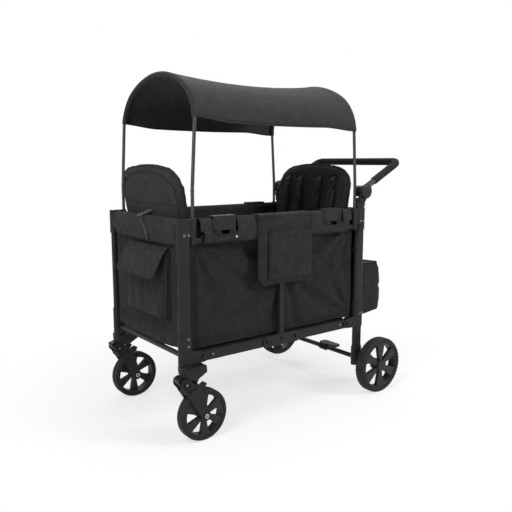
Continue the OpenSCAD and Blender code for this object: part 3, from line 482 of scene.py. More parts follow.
def makeSheet(name, finish, across, along, shape, thick):
    bm = bmesh.new()
    sheetMesh(bm, across, along, shape)
    return thicken(makePiece(bm, name, finish), thick)


def makeTrim(name, tubes, finish="pipingCloth"):
    # each tube has its points, radius and sides, and True where it is closed
    bm = bmesh.new()
    for tube in tubes:
        addTube(bm, *tube)
    return makePiece(bm, name, finish)


def foldWith(o):
    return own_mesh(o)


def surfaceTree(o):
    graph = bpy.context.evaluated_depsgraph_get()
    bpy.context.view_layer.update()
    return BVHTree.FromObject(o, graph)


def onSurface(tree, points, ray, lift):
    # each point moved along ray until it lies on the surface, and raised a little
    out = []
    for q in points:
        hit, normal, _, _ = tree.ray_cast(Vector(q) - ray * 0.15, ray)
        if hit is None:
            hit, normal, _, _ = tree.find_nearest(Vector(q))
        if normal.dot(ray) > 0:
            normal = -normal
        out.append(hit + normal * lift)
    return out


def nearSurface(tree, points, lift):
    out = []
    for q in points:
        hit, normal, _, _ = tree.find_nearest(q)
        out.append(hit + normal * lift)
    return out


# canopy: one sheet over the two arches, with a sleeve round each rod

canopy = dict(rodX=0.415, rodY=0.279, rodRadius=0.0065, bendZ=0.940, lean=3.3, topZ=1.375,
              shoulder=0.170, shoulderTurn=60.0, hemZ=1.186, rearDroop=0.016, frontDroop=-0.012,
              sag=0.030, cloth=0.0022, clear=0.002, past=0.004, sleeve=0.0098, sleeveLow=0.002,
              ripple=0.0012, endRipple=0.0016, drawIn=0.02, hemDrawIn=0.012, hem=0.0026,
              stitch=0.0009, stitchIn=0.014, stitchOut=0.0012, foldKeep=0.455, across=64, along=96)


def archOutline(c, off, hemZ, steps=72):
    # points [across, height above the bend] from the left hem over the top to the right hem
    lean, turn = math.radians(c["lean"]), math.radians(c["shoulderTurn"])
    reach = (c["rodY"] - c["shoulder"]) / math.cos(turn)
    crown = c["shoulder"] + reach
    rise = c["shoulder"] + reach * (1 - math.sin(turn))
    shoulderZ = (c["topZ"] - c["rodRadius"] - c["bendZ"]) / math.cos(lean) - rise
    hem = (hemZ - c["bendZ"]) / math.cos(lean)
    r, n = c["shoulder"] + off, steps // 4
    low = math.asin((hem - shoulderZ) / r)
    half = []
    for i in range(n):
        a = low + (turn - low) * i / n
        half.append((c["rodY"] - c["shoulder"] + (r * math.cos(a) if a > 0 else r),
                     shoulderZ + r * math.sin(a)))
    for i in range(n + 1):
        a = turn + (math.pi / 2 - turn) * i / n
        half.append(((crown + off) * math.cos(a),
                     shoulderZ - reach * math.sin(turn) + (crown + off) * math.sin(a)))
    return [(-y, h) for y, h in half] + [(y, h) for y, h in reversed(half[:-1])]


def alongOutline(points, share):
    lengths = [0.0]
    for a, b in zip(points, points[1:]):
        lengths.append(lengths[-1] + math.dist(a, b))
    goal = share * lengths[-1]
    for i, (a, b) in enumerate(zip(points, points[1:])):
        if lengths[i + 1] >= goal - 1e-9:
            t = (goal - lengths[i]) / max(1e-9, lengths[i + 1] - lengths[i])
            return a[0] + t * (b[0] - a[0]), a[1] + t * (b[1] - a[1])
    return points[-1]


def makeCanopy(c):
    lean = math.radians(c["lean"])
    columns = {}

    def hemAt(k):
        droop = c["rearDroop"] * ramp(0.55, 1.0, k)
        return c["hemZ"] - droop - c["frontDroop"] * ramp(0.6, 1.0, -k)

    def shape(u, v):
        k = 2 * u - 1
        key = round(u, 5)
        if key not in columns:
            columns[key] = archOutline(c, c["rodRadius"] + c["clear"], hemAt(k))
        y, h = alongOutline(columns[key], v)
        slack = 1 - k * k
        over = 1 - 0.7 * abs(y) / c["rodY"]
        ripple = c["ripple"] * cloud(9 * k, 6 * v, 0, 1) * slack \
            + c["endRipple"] * ramp(0.80, 1.0, abs(k)) * cloud(4 * k, 26 * v, 0, 2)
        edge = ramp(0.10, 0.0, min(v, 1 - v))
        y *= 1 - c["drawIn"] * slack - c["hemDrawIn"] * edge * slack
        return place(k * (c["rodX"] - h * math.sin(lean) + c["past"]), y * (1 + ripple),
                     c["bendZ"] + h * math.cos(lean) * (1 + ripple) - c["sag"] * slack * over)
    bm = bmesh.new()
    sheetMesh(bm, c["across"], c["along"], shape)
    bmesh.ops.recalc_face_normals(bm, faces=bm.faces)
    top = makePiece(bm, "canopyTop", "canopyCloth")
    thicken(top, c["cloth"])

    # hems along both sides: the turned edge as a tube, and its stitching
    tubes = []
    for v, inner, side in ((0.0, c["stitchIn"], -1), (1.0, 1 - c["stitchIn"], 1)):
        stitch = shifted(rowLine(shape, c["across"], inner), (0, side * c["stitchOut"], 0))
        tubes += [(rowLine(shape, c["across"], v), c["hem"], 2), (stitch, c["stitch"], 1)]
    hems = makeTrim("canopyHems", tubes, "canopyCloth")
    for o in (top, hems):
        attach(o, "canopy_front")
        foldWith(o)
    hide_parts("canopy_fabric")

    for end, name, body in ((-1, "canopySleeveFront", "canopy_front"),
                            (1, "canopySleeveRear", "canopy_rear")):
        outline = archOutline(c, 0.0, hemAt(end) - c["sleeveLow"], 96)
        line = [place(end * (c["rodX"] - h * math.sin(lean)), y, c["bendZ"] + h * math.cos(lean))
                for y, h in outline]
        sleeve = makeTrim(name, [(line, c["sleeve"], 4)], "canopyCloth")
        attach(sleeve, body)
    print("canopy made")


makeCanopy(canopy)


# tub: two side sheets, two end sheets, and the collar round the top rail

tub = dict(sideY=0.2585, sideHalf=0.423, bottomZ=0.349, sideTop=0.775, collarHalf=0.3722,
           collarIn=0.2447, collarOut=0.2880, collarLow=0.746, collarHigh=0.8360, puff=0.005,
           hookX=0.279, hookHalf=0.0560, hookZ=0.7740, hookRound=0.016, collarReach=0.040,
           cloth=0.0022, piping=0.0034, edging=0.0028, stitch=0.0010, stitchOut=0.0016,
           foldKeep=0.466, endHalf=0.2482, endCollarHalf=0.2588, endIn=0.433, endOut=0.4755,
           panelX=0.464, endBand=0.14, bandRoll=0.007, bandSeam=0.0022)

# folds fan out from these places [x, z, seed]
fans = ((-0.40, 0.74, 5), (0.40, 0.74, 6), (0.03, 0.60, 7), (0.41, 0.37, 10))


def sideRelief(x, z):
    # folds that fan out, ruffles over the hem and slack between
    low, high = tub["bottomZ"], tub["sideTop"]
    t = (z - low) / (high - low)
    relief = 0.0030 * cloud(5.5 * x, 0, 4.2 * z, 3) + 0.0014 * cloud(16 * x + 5 * z, 0, 9 * z, 4)
    for fanX, fanZ, seed in fans:
        dx, dz = x - fanX, z - fanZ
        far = math.hypot(dx, dz)
        turn = math.atan2(dz, dx)
        fan = math.sin(11 * turn + 3 * cloud(3 * dx, 3 * dz, 0, seed))
        relief += 0.0075 * fan * ramp(0.02, 0.10, far) * ramp(0.42, 0.16, far)
    relief += 0.0046 * ramp(0.20, 0.02, t) * cloud(26 * x, 0, 9 * z + 4 * x, 8)
    relief *= ramp(0.0, 0.05, t) * 0.7 + 0.3
    relief *= ramp(0.99, 0.90, abs(x) / tub["sideHalf"]) * 0.75 + 0.25
    return max(-0.011, min(0.0045, relief))


def foldSide(o):
    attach(o, "front_frame")
    foldWith(o)


def makeSide(side, tag):
    t = tub

    def shape(u, v):
        x = t["sideHalf"] * (2 * u - 1)
        low = t["bottomZ"] + 0.004 * cloud(7 * x, 1.0, 0, 9) + 0.003
        z = low + (t["sideTop"] - low) * v
        inward = 0.006 * ramp(0.93, 1.0, v)
        return place(x, side * (t["sideY"] + sideRelief(x, z) - inward), z)
    panel = makeSheet("tubSide" + tag, "tubCloth", 150, 74, shape, t["cloth"])
    out = (0, side * t["stitchOut"], 0)
    tubes = [(rowLine(shape, 120, 0.0), t["piping"], 2),
             (shifted(rowLine(shape, 120, 0.075), out), t["stitch"], 1)]
    tubes += [(columnLine(shape, 50, u), t["edging"], 2) for u in (0.004, 0.996)]
    tubes += [(shifted(columnLine(shape, 50, u)[:48], out), t["stitch"], 1) for u in (0.035, 0.965)]
    seams = makeTrim("tubSideTrim" + tag, tubes)
    for o in (panel, seams):
        foldSide(o)
    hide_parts("side_fabrics")


def collarSection(inner, outer):
    # inverted U from the inner hem over the top to the outer hem, as [across, height]
    low, high, puff = tub["collarLow"], tub["collarHigh"], tub["puff"]
    r = min((outer - inner) / 2, 0.018)
    points = [(inner, low + (high - r - low) * i / 10) for i in range(10)]
    for i in range(9):
        a = math.pi - math.pi / 2 * i / 8
        points.append((inner + r + r * math.cos(a), high - r + r * math.sin(a)))
    for i in range(1, 9):
        a = math.pi / 2 - math.pi / 2 * i / 8
        points.append((outer - r + r * math.cos(a), high - r + r * math.sin(a)))
    for i in range(1, 31):
        s = i / 30
        points.append((outer + puff * math.sin(math.pi * s) - 0.002 * s,
                       high - r - (high - r - low) * s))
    return points


def hangShare(v):
    # 0 over the collar's top, growing to 1 at its outer hem
    return max(0.0, (v - 0.55) / 0.45)


def makeCollar(side, tag):
    t = tub
    section = collarSection(t["collarIn"], t["collarOut"])
    rows = len(section) - 1
    near, far = t["hookX"] - t["hookHalf"], t["hookX"] + t["hookHalf"]
    marks = (-t["collarHalf"], -far, -near, near, far, t["collarHalf"])
    stops = []
    for a, b, n in zip(marks, marks[1:], (12, 38, 76, 38, 12)):
        stops += [a + (b - a) * i / n for i in range(n)]
    stops.append(marks[-1])
    columns = len(stops) - 1

    def shape(u, v):
        x = stops[round(u * columns)]
        y, z = section[round(v * rows)]
        s = hangShare(v)
        gather = ramp(0.75, 1.0, abs(x) / t["collarHalf"])
        wave = 0.0034 * cloud(9 * x, 0, 8 * z, 11) + 0.0044 * gather * cloud(3 * x, 0, 46 * z, 12)
        wave += 0.0028 * cloud(34 * x, 0, 14 * z, 13) * s
        hem = 0.006 * cloud(3.4 * x, 2, 0, 14) * s * s
        if v < 0.3:
            wave *= 0.3
        x *= 1 + t["collarReach"] * gather * ramp(0.782, 0.794, z)
        return place(x, side * (y + wave), z + hem * (0 if v < 0.5 else 1))

    def inNotch(c):
        r = t["hookRound"]
        drop = max(0.0, t["hookZ"] + r - c.z)
        reach = t["hookHalf"] - r + math.sqrt(r * r - drop * drop) if drop < r else 0.0
        return abs(c.y) > t["collarIn"] + 0.004 and abs(abs(c.x - midX) - t["hookX"]) < reach
    bm = bmesh.new()
    sheetMesh(bm, columns, rows, shape)
    gone = [f for f in bm.faces if inNotch(f.calc_center_median())]
    bmesh.ops.delete(bm, geom=gone, context="FACES")
    # the collar takes the lighter copy of the tub cloth, with painted light on its top
    collar = thicken(makePiece(bm, "tubCollar" + tag, "paintedLitCloth"), t["cloth"])
    piped = makeTrim("tubCollarTrim" + tag, [(rowLine(shape, columns, 1.0), t["piping"], 2)])
    for o in (collar, piped):
        foldSide(o)
    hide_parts("side_fabrics")


def makeEnd(end, tag, body, node):
    t = tub
    section = collarSection(t["endIn"], t["endOut"])
    rows, n = len(section) - 1, 90

    def panelShape(u, v):
        k = 2 * u - 1
        y = t["endHalf"] * k
        low = t["bottomZ"] + 0.014 * k ** 2 * ramp(0.2, 1.0, abs(k)) + 0.002
        z = low + (t["sideTop"] - low) * v
        slack = 0.0035 * cloud(6 * y, end, 5 * z, 15) \
            + 0.0016 * cloud(22 * y + 9 * z, end, 12 * z, 16)
        slack += 0.0040 * ramp(0.2, 0.0, v) * cloud(20 * y, 3, 10 * z, 17)
        slack *= ramp(1.0, 0.9, abs(k)) * 0.8 + 0.2
        slack = max(-0.006, min(0.0005, slack - 0.002))
        roll = 0.0
        if end < 0:
            band = math.sin(math.pi * min(1.0, v / t["endBand"]))
            roll = t["bandRoll"] * band * ramp(1.0, 0.92, abs(k))
        return place(end * (t["panelX"] + slack + roll - 0.004 * ramp(0.9, 1, v)), y, z)

    def collarShape(u, v):
        y = t["endCollarHalf"] * (2 * u - 1)
        x, z = section[round(v * rows)]
        s = hangShare(v)
        wave = 0.0038 * cloud(9 * y, 5 * end, 9 * z, 18) \
            + 0.0030 * cloud(30 * y, 2 * end, 16 * z, 19) * s
        hem = 0.005 * cloud(5 * y, 4 * end, 0, 20) * s * s
        corner = ramp(0.86, 1.0, u) if end < 0 else 0.0
        hem += 0.034 * corner * corner * s * s
        wave += 0.0050 * s * ramp(0.0, 0.5, s) * math.sin(21 * y + 2.2) * ramp(0.26, 0.10, abs(y))
        if v < 0.3:
            wave *= 0.3
        return place(end * (x + wave), y, z - 0.004 * corner + (hem if v > 0.5 else 0))
    panel = makeSheet("tubEnd" + tag, "tubCloth", n, 74, panelShape, t["cloth"])
    # the end collar takes the lighter copy of the tub cloth, with painted light on its top
    collar = makeSheet("tubEndCollar" + tag, "paintedLitCloth", n, rows, collarShape, t["cloth"])
    band = shifted(rowLine(panelShape, n, t["endBand"]), (end * t["stitchOut"], 0, 0))
    seams = makeTrim("tubEndTrim" + tag, [(rowLine(collarShape, n, 1.0), t["piping"], 2),
                                          (rowLine(panelShape, n, 0.0), t["piping"], 2),
                                          (band, t["bandSeam"], 2)])
    for o in (panel, collar, seams):
        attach(o, body)
    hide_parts(node)


for side, tag in bothSides:
    makeSide(side, tag)
    makeCollar(side, tag)
makeEnd(-1, "Front", "front_frame", "front_panel")
makeEnd(1, "Rear", "rear_frame", "rear_panel")
print("tub made")


# bags: front pocket with its flap, side organizer, rear bag

pocket = dict(backX=0.4662, faceX=0.5020, topShare=0.50, midY=-0.038, half=0.158, low=0.4540,
              high=0.7250, corner=0.022, piping=0.0028, seam=0.0011, seamUp=0.012, seamLong=0.20,
              flapHalf=0.152, flapTop=(0.4690, 0.7270), flapLow=(0.5370, 0.6180), flapCorner=0.030,
              flapThick=0.0036, flapBow=0.0030, flapCurl=0.007, stitch=0.0008, stitchOut=0.0021,
              stitchIn=0.055, stitchDown=0.91, hinge=(0.5138, 0.690))


def roundSquare(halfY, low, high, r, steps=10):
    # outline of a panel with rounded corners, as [across, height]
    out = []
    for cy, cz, start in ((halfY - r, high - r, 0), (r - halfY, high - r, 90),
                          (r - halfY, low + r, 180), (halfY - r, low + r, 270)):
        for i in range(steps + 1):
            a = math.radians(start + 90 * i / steps)
            out.append((cy + r * math.cos(a), cz + r * math.sin(a)))
    return out


def spread(line, count, closed=True):
    # the same line with evenly spaced points
    line = [Vector(p) for p in line] + ([Vector(line[0])] if closed else [])
    lengths = [0.0]
    for a, b in zip(line, line[1:]):
        lengths.append(lengths[-1] + (b - a).length)
    out, i = [], 0
    for k in range(count + (0 if closed else 1)):
        goal = lengths[-1] * k / count
        while i < len(line) - 2 and lengths[i + 1] < goal:
            i += 1
        share = (goal - lengths[i]) / max(1e-9, lengths[i + 1] - lengths[i])
        out.append(line[i].lerp(line[i + 1], share))
    return out


def spreadFlat(pairs, count, closed=False):
    return [(q.x, q.y) for q in spread([(a, b, 0) for a, b in pairs], count, closed)]


def makePocket(p):
    middle = (p["low"] + p["high"]) / 2
    tall = (p["high"] - p["low"]) / 2
    depth = p["faceX"] - p["backX"]

    def swell(y, z):
        # fuller near the bottom, drawn in at the top edge and along the middle seam
        s, t = (y - p["midY"]) / p["half"], (z - p["low"]) / (2 * tall)
        full = 1 - (1 - p["topShare"]) * t - 0.10 * s * s
        full += 0.10 * cloud(11 * y, 0, 9 * z, 21) + 0.06 * cloud(30 * y, 0, 22 * z, 22)
        return full - 0.07 * groove(s, 0.035) * ramp(0.95, 0.5, t)

    def shape(u, v):
        k, h = closing(u), closing(v)
        z = middle + tall * h
        past = abs(z - middle) - tall + p["corner"]
        y = p["midY"] + k * roundedHalf(p["half"], p["corner"], past)
        wall = (1 - abs(k) ** 16) * (1 - abs(h) ** 18)
        crimp = 0.0014 * cloud(40 * y, 0, 40 * z, 23) * (1 - wall)
        x = p["backX"] + min(depth, depth * wall * swell(y, z)) + crimp
        return place(-x, y, z)
    bm = bmesh.new()
    sheetMesh(bm, 80, 80, shape)
    bmesh.ops.recalc_face_normals(bm, faces=bm.faces)
    if sum(f.normal.x for f in bm.faces) > 0:
        bmesh.ops.reverse_faces(bm, faces=bm.faces)
    body = makePiece(bm, "frontPocketBody", "bagCloth")
    tree, inward = surfaceTree(body), Vector((1, 0, 0))
    outline = spreadFlat(roundSquare(p["half"], p["low"], p["high"], p["corner"]), 120, True)
    edge = [place(-p["faceX"], p["midY"] + 0.968 * y, middle + 0.984 * (z - middle))
            for y, z in outline]
    seam = [place(-p["faceX"], p["midY"], p["low"] + p["seamUp"] + p["seamLong"] * i / 40)
            for i in range(41)]
    piped = makeTrim("frontPocketTrim",
                     [(onSurface(tree, edge, inward, 0.0006), p["piping"], 2, True),
                      (onSurface(tree, seam, inward, 0.0002), p["seam"], 1)])
    for o in (body, piped):
        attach(o, "front_frame")
    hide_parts("front_pocket")

    # stiff flap, sewn to the panel above the pocket and standing off its face
    (topX, topZ), (lowX, lowZ) = p["flapTop"], p["flapLow"]
    long = math.dist(p["flapTop"], p["flapLow"])
    wide, tallSteps = 60, 44

    def flapShape(u, v):
        k = 2 * u - 1
        bow = p["flapBow"] * (1 - k * k) * math.sin(math.pi * v)
        bow += 0.0014 * cloud(5 * k, v * 4, 0, 24)
        curl = p["flapCurl"] * math.sin(math.pi * v) * (1 - v)
        half = roundedHalf(p["flapHalf"], p["flapCorner"], p["flapCorner"] - (1 - v) * long)
        return place(-(topX + (lowX - topX) * v + bow + curl), p["midY"] + half * k,
                     topZ + (lowZ - topZ) * v + curl)
    # the flap takes the lighter copy of the tub cloth, with painted light on its upward face
    flap = makeSheet("frontPocketFlap", "paintedLitCloth", wide, tallSteps, flapShape, p["flapThick"])
    rim = columnLine(flapShape, tallSteps, 0) + rowLine(flapShape, wide, 1)[1:-1] \
        + [flapShape(1, 1 - i / tallSteps) for i in range(tallSteps + 1)]
    first, last, down = p["stitchIn"], 1 - p["stitchIn"], p["stitchDown"]
    inset = [flapShape(first, i / 40 * down) for i in range(41)] \
        + [flapShape(first + (last - first) * i / 40, down) for i in range(1, 40)] \
        + [flapShape(last, down * (1 - i / 40)) for i in range(41)]
    stitch = shifted(inset, (-p["stitchOut"], 0, 0))
    edge = makeTrim("frontPocketFlapTrim", [(rim, p["piping"], 2), (stitch, p["stitch"], 1)])
    for o in (flap, edge):
        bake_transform(o)
    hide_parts("front_pocket_flap")
    print("front pocket made")


organizer = dict(midX=0.007, half=0.1375, low=0.560, high=0.8350, corner=0.040, backY=0.2888,
                 thick=0.0135, innerY=0.2416, innerLow=0.772, wrapThick=0.0024, piping=0.0032,
                 patchLeft=0.045, patchHigh=0.775, patchLow=0.578, patchIn=0.006, patchThick=0.0016,
                 gape=0.0030, hem=0.0015, stitch=0.0008, stitchOut=0.0012)


def makeOrganizer(g):
    # padded bag hung over the left collar, drawn with its outer face to -Y
    middle = (g["low"] + g["high"]) / 2
    tall = (g["high"] - g["low"]) / 2
    back, top, inner = g["backY"], g["high"], g["innerY"]

    def halfAt(z):
        return roundedHalf(g["half"], g["corner"], g["low"] + g["corner"] - z)

    def padShape(face):
        def at(u, v):
            k, h = closing(u), closing(v)
            z = middle + tall * h
            x = g["midX"] + k * halfAt(z)
            full = (1 - abs(k) ** 8) * (1 - abs((z - middle) / tall) ** 10)
            full *= 1 + 0.10 * cloud(12 * x, 0, 10 * z, 25)
            return place(x, -(back + g["thick"] * (0.5 + face * 0.5 * full)), z)
        return at
    bm = bmesh.new()
    for face in (1, -1):
        sheetMesh(bm, 56, 56, padShape(face))
    bmesh.ops.remove_doubles(bm, verts=bm.verts, dist=0.0002)
    bmesh.ops.recalc_face_normals(bm, faces=bm.faces)
    pad = makePiece(bm, "organizerPad", "bagCloth")

    # band from the pad's top over the collar and down inside
    section = spreadFlat([(back + 0.010, top - 0.008), (back + 0.006, top + 0.0010),
                          (back - 0.004, top + 0.0028), (inner + 0.010, top + 0.0028),
                          (inner + 0.002, top + 0.0012), (inner, top - 0.008),
                          (inner, g["innerLow"])], 24)

    def wrapShape(u, v):
        x = g["midX"] + g["half"] * (2 * u - 1) * 0.992
        y, z = section[round(v * 24)]
        return place(x, -(y + 0.0006 * cloud(14 * x, 0, 20 * v, 26)), z)
    # the wrap takes the lighter copy of the tub cloth, with painted light on its top
    wrap = makeSheet("organizerWrap", "paintedLitCloth", 40, 24, wrapShape, g["wrapThick"])

    # sewn-on pocket with an open left side
    left, right = g["midX"] - g["half"] + g["patchLeft"], g["midX"] + g["half"] - g["patchIn"]

    def patchShape(u, v):
        z = g["patchLow"] + (g["patchHigh"] - g["patchLow"]) * v
        x = min(left + (right - left) * u, g["midX"] + (halfAt(z) - g["patchIn"]))
        full = (1 - (2 * u - 1) ** 6) * (1 - (2 * v - 1) ** 8)
        gape = g["gape"] * ramp(0.25, 0.0, u) * (1 - (2 * v - 1) ** 2)
        y = back + g["thick"] * 0.985 + 0.0014 + 0.0026 * full + gape \
            + 0.0008 * cloud(16 * x, 2, 14 * z, 27)
        return place(x, -y, z)
    patch = makeSheet("organizerPatch", "bagCloth", 44, 44, patchShape, g["patchThick"])

    heights = [g["low"] + 0.0002 * i * i for i in range(14, -1, -1)]
    outline = [(-g["half"], g["high"])] + [(-halfAt(z), z) for z in heights]
    outline += [(-a, b) for a, b in reversed(outline)]
    rim = [place(g["midX"] + x * 0.995, -(back + g["thick"] * 0.5), max(z, g["low"] + 0.0008))
           for x, z in spreadFlat(outline, 120)]
    out = (0, -g["stitchOut"], 0)
    lines = [(rowLine(patchShape, 40, 1.0), g["hem"], 2),
             (rowLine(patchShape, 40, 0.87), g["stitch"], 1),
             (columnLine(patchShape, 40, 0.0), g["hem"], 2),
             (columnLine(patchShape, 40, 0.05), g["stitch"], 1)]
    piped = makeTrim("organizerTrim", [(rim, g["piping"], 2)]
                     + [(shifted(line, out), radius, n) for line, radius, n in lines])
    for o in (pad, wrap, patch, piped):
        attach(o, "centre")
    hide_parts("side_organizer")
    print("organizer made")


rearBag = dict(frontX=0.4662, backX=0.6285, half=0.2455, low=0.3395, high=0.5745, corner=0.013,
               frontCorner=0.004, rise=0.010, bulge=0.003, piping=0.0030, lowPiping=0.0026,
               bandSeam=0.0014, bands=(0.80, 0.87), rows=26,
               caps=(0.96, 0.88, 0.72, 0.5, 0.28, 0.10))


def makeRearBag(b):
    bm = bmesh.new()
    depth = b["backX"] - b["frontX"]
    big, small, plan = b["corner"], b["frontCorner"], []
    for cx, cy, r, start in ((b["backX"] - big, b["half"] - big, big, 0),
                             (b["frontX"] + small, b["half"] - small, small, 90),
                             (b["frontX"] + small, small - b["half"], small, 180),
                             (b["backX"] - big, big - b["half"], big, 270)):
        for i in range(9):
            a = math.radians(start + 90 * i / 8)
            plan.append(Vector((cx + r * math.cos(a), cy + r * math.sin(a), 0)))
    plan = spread(plan, 150)

    def wall(q, t):
        # sags fuller towards the bottom, with loose creases
        back = (q.x - b["frontX"]) / depth
        belly = 0.0045 * math.sin(math.pi * min(1.0, t * 1.25)) - 0.0060 * ramp(0.75, 1.0, t)
        crease = 0.0034 * cloud(14 * q.x, 12 * q.y, 9 * t, 28) \
            + 0.0016 * cloud(30 * q.x, 34 * q.y, 16 * t, 29)
        crease -= 0.004 * groove(t - 0.46 - 0.05 * cloud(6 * q.y, 3 * q.x, 0, 30), 0.035)
        push = min(0.004, (belly + crease) * ramp(0.0, 0.12, back))
        out = Vector((ramp(0.5, 1.0, back), 0, 0))
        if abs(q.y) > b["half"] - 0.03:
            out.y = 1.0 if q.y > 0 else -1.0
        low = b["low"] + b["rise"] * ramp(0.1, 1.0, back)
        dip = 0.006 * math.sin(math.pi * (q.y / b["half"] + 1) / 2)
        high = b["high"] - dip * ramp(0.5, 1, back)
        p = q + out * push
        side = b["half"] + b["bulge"]
        return place(min(p.x, b["backX"] + b["bulge"]), max(-side, min(side, p.y)),
                     low + (high - low) * t)

    def addRing(points):
        ring = [bm.verts.new(p) for p in points]
        return [bm.edges.new(pair) for pair in zip(ring, ring[1:] + ring[:1])]
    rings = [addRing([wall(q, i / b["rows"]) for q in plan]) for i in range(b["rows"] + 1)]
    for a, c in zip(rings, rings[1:]):
        bmesh.ops.bridge_loops(bm, edges=a + c)
    middle = Vector(((b["frontX"] + b["backX"]) / 2, 0, 0))
    for loop, t, sink in ((rings[0], 0.0, 0.003), (rings[-1], 1.0, -0.006)):
        for size in b["caps"]:
            move = (0, 0, sink * (1 - size * size))
            inner = addRing(shifted([wall(middle, t).lerp(wall(q, t), size) for q in plan], move))
            bmesh.ops.bridge_loops(bm, edges=loop + inner)
            loop = inner
        bmesh.ops.edgeloop_fill(bm, edges=loop)
    bmesh.ops.recalc_face_normals(bm, faces=bm.faces)
    bag = makePiece(bm, "rearBagBody", "bagCloth")

    levels = [(1.0, b["piping"]), (0.0, b["lowPiping"])] + [(t, b["bandSeam"]) for t in b["bands"]]
    tubes = [([wall(q, t) for q in plan], radius, 2, True) for t, radius in levels]
    for y in (1, -1):
        corner = Vector((b["backX"] - 0.006, y * (b["half"] - 0.006), 0))
        q = min(plan, key=lambda p: (p - corner).length)
        tubes.append(([wall(q, i / 30) for i in range(31)], b["piping"], 2))
    piped = makeTrim("rearBagTrim", tubes)
    for o in (bag, piped):
        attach(o, "rear_frame")
    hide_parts("rear_bag")
    print("rear bag made")


makePocket(pocket)
makeOrganizer(organizer)
makeRearBag(rearBag)


# seats: four cushions blown up as cloth, with piping, seams and harness straps

seat = dict(pivotX=0.37273, pivotZ=0.630, lean=10.0, below=0.020, long=0.426, half=0.240,
            cornerWide=0.130, cornerHigh=0.095, bow=0.008, drawIn=0.005, shrink=0.0030, voxel=0.006,
            pressure=4.0, steps=20, cap=0.008, piping=0.0034, lift=0.0008, borderIn=0.027,
            innerBorder=0.034, border=0.0017, topSeam=0.372, topBow=0.006, topWide=0.0019,
            lowSeam=0.256, lowReach=0.19, lowWide=0.0010, seamSoft=0.0035,
            pipingOff=(0.0062, -0.0098), rungs=12, rungIn=0.034, rungLow=0.215, rungStep=0.0105,
            rungWide=0.0008)
pan = dict(backX=0.344, frontX=0.108, topZ=0.648, half=0.240, corner=0.034, piping=0.0032,
           pipingZ=(0.6415, 0.6165), seams=(0.185, 0.268), seamHalf=0.222, seamWide=0.0012,
           seamDeep=0.0028, seamSoft=0.006, upperZ=0.632)
harness = dict(slotUp=0.346, slotHalf=0.021, slotTall=0.0045, slotEdge=0.0017, mouthHalf=0.018,
               straps=(0.152, 0.064, -0.064, -0.152), web=0.025, webThick=0.0016, adjusterUp=0.313,
               lockHalf=0.0175, lockTall=0.0115, lockWire=0.0024, bars=(-0.0035, 0.0045),
               barHalf=0.0165, barWire=0.0019, padTop=0.291, padLow=0.085, padHalf=0.0235,
               padThick=0.0135, padEdge=0.0015,
               tail=((0.06, 0.0085), (0.04, 0.006), (0.02, 0.0040), (0.004, 0.0030)),
               loopY=0.186, loopWide=0.012,
               loop=((0.362, -0.0150), (0.359, -0.0195), (0.350, -0.0225), (0.340, -0.0225),
                     (0.331, -0.0195), (0.328, -0.0150)))
leanTurn = math.radians(seat["lean"])


def seatPoint(end, s, y, off=0.0):
    # s up the back from its pivot, off towards the middle; end is 1 at the rear and -1 in front
    x = seat["pivotX"] + s * math.sin(leanTurn) - off * math.cos(leanTurn)
    return place(end * x, y, seat["pivotZ"] + s * math.cos(leanTurn) + off * math.sin(leanTurn))


def seatFacing(end):
    return Vector((-end * math.cos(leanTurn), 0, math.sin(leanTurn)))


def backHalf(s):
    up = s + seat["below"]
    d = max(0.0, up - (seat["long"] - seat["cornerHigh"])) / seat["cornerHigh"]
    t = 2 * up / seat["long"] - 1
    corner = seat["cornerWide"] * (1 - math.sqrt(max(0.0, 1 - d * d)))
    return seat["half"] - corner - seat["drawIn"] * (1 - t * t)


def backOutline(inset=0.0, low=-0.012, steps=60):
    # [s, y] up the left edge, over the bowed top and down the right edge
    top = seat["long"] - seat["below"]
    left = []
    for i in range(steps + 1):
        s = low + (top - inset - low) * math.sin(math.pi / 2 * i / steps)
        t = max(0.0, 2 * (s + seat["below"]) / seat["long"] - 1)
        left.append((s - seat["bow"] * t, backHalf(s + inset * ramp(0.25, 0.38, s)) - inset))
    edge = left[-1][1]
    over = [(top - inset - seat["bow"] * (k / 10) ** 2, edge * k / 10) for k in range(9, -10, -1)]
    return left + over + [(s, -y) for s, y in reversed(left)]


def applyModifiers(o):
    mesh = finalMesh(o)
    o.modifiers.clear()
    old, o.data = o.data, mesh
    bpy.data.meshes.remove(old)


def swellPad(node, name, facing):
    # drawn in a little, remeshed evenly, then blown up as cloth with its movement capped
    bm = bmesh.new()
    bm.from_mesh(nodes[node].data)
    bmesh.ops.remove_doubles(bm, verts=bm.verts, dist=0.0001)
    bmesh.ops.recalc_face_normals(bm, faces=bm.faces)
    bm.normal_update()
    for v in bm.verts:
        v.co -= facing * (v.normal.dot(facing) * seat["shrink"])
    o = makePiece(bm, name, "seatCloth")
    m = o.modifiers.new("evenMesh", "REMESH")
    m.mode, m.voxel_size, m.use_smooth_shade = "VOXEL", seat["voxel"], True
    applyModifiers(o)
    start = [v.co.copy() for v in o.data.vertices]
    c = o.modifiers.new("padCloth", "CLOTH").settings
    c.quality, c.mass, c.use_pressure = 5, 0.3, True
    c.uniform_pressure_force = seat["pressure"]
    c.tension_stiffness, c.compression_stiffness, c.bending_stiffness = 12, 12, 0.6
    c.effector_weights.gravity = 0
    for f in range(1, seat["steps"] + 1):
        scene.frame_set(f)
    applyModifiers(o)
    scene.frame_set(1)
    for v, was in zip(o.data.vertices, start):
        move = facing * (v.co - was).dot(facing)
        v.co = was + move * min(1.0, seat["cap"] / max(move.length, 1e-6))
    m = o.modifiers.new("finer", "SUBSURF")
    m.levels = m.render_levels = 1
    applyModifiers(o)
    o.data.polygons.foreach_set("use_smooth", [True] * len(o.data.polygons))
    o.data.materials.clear()
    o.data.materials.append(finishes["seatCloth"])
    return o


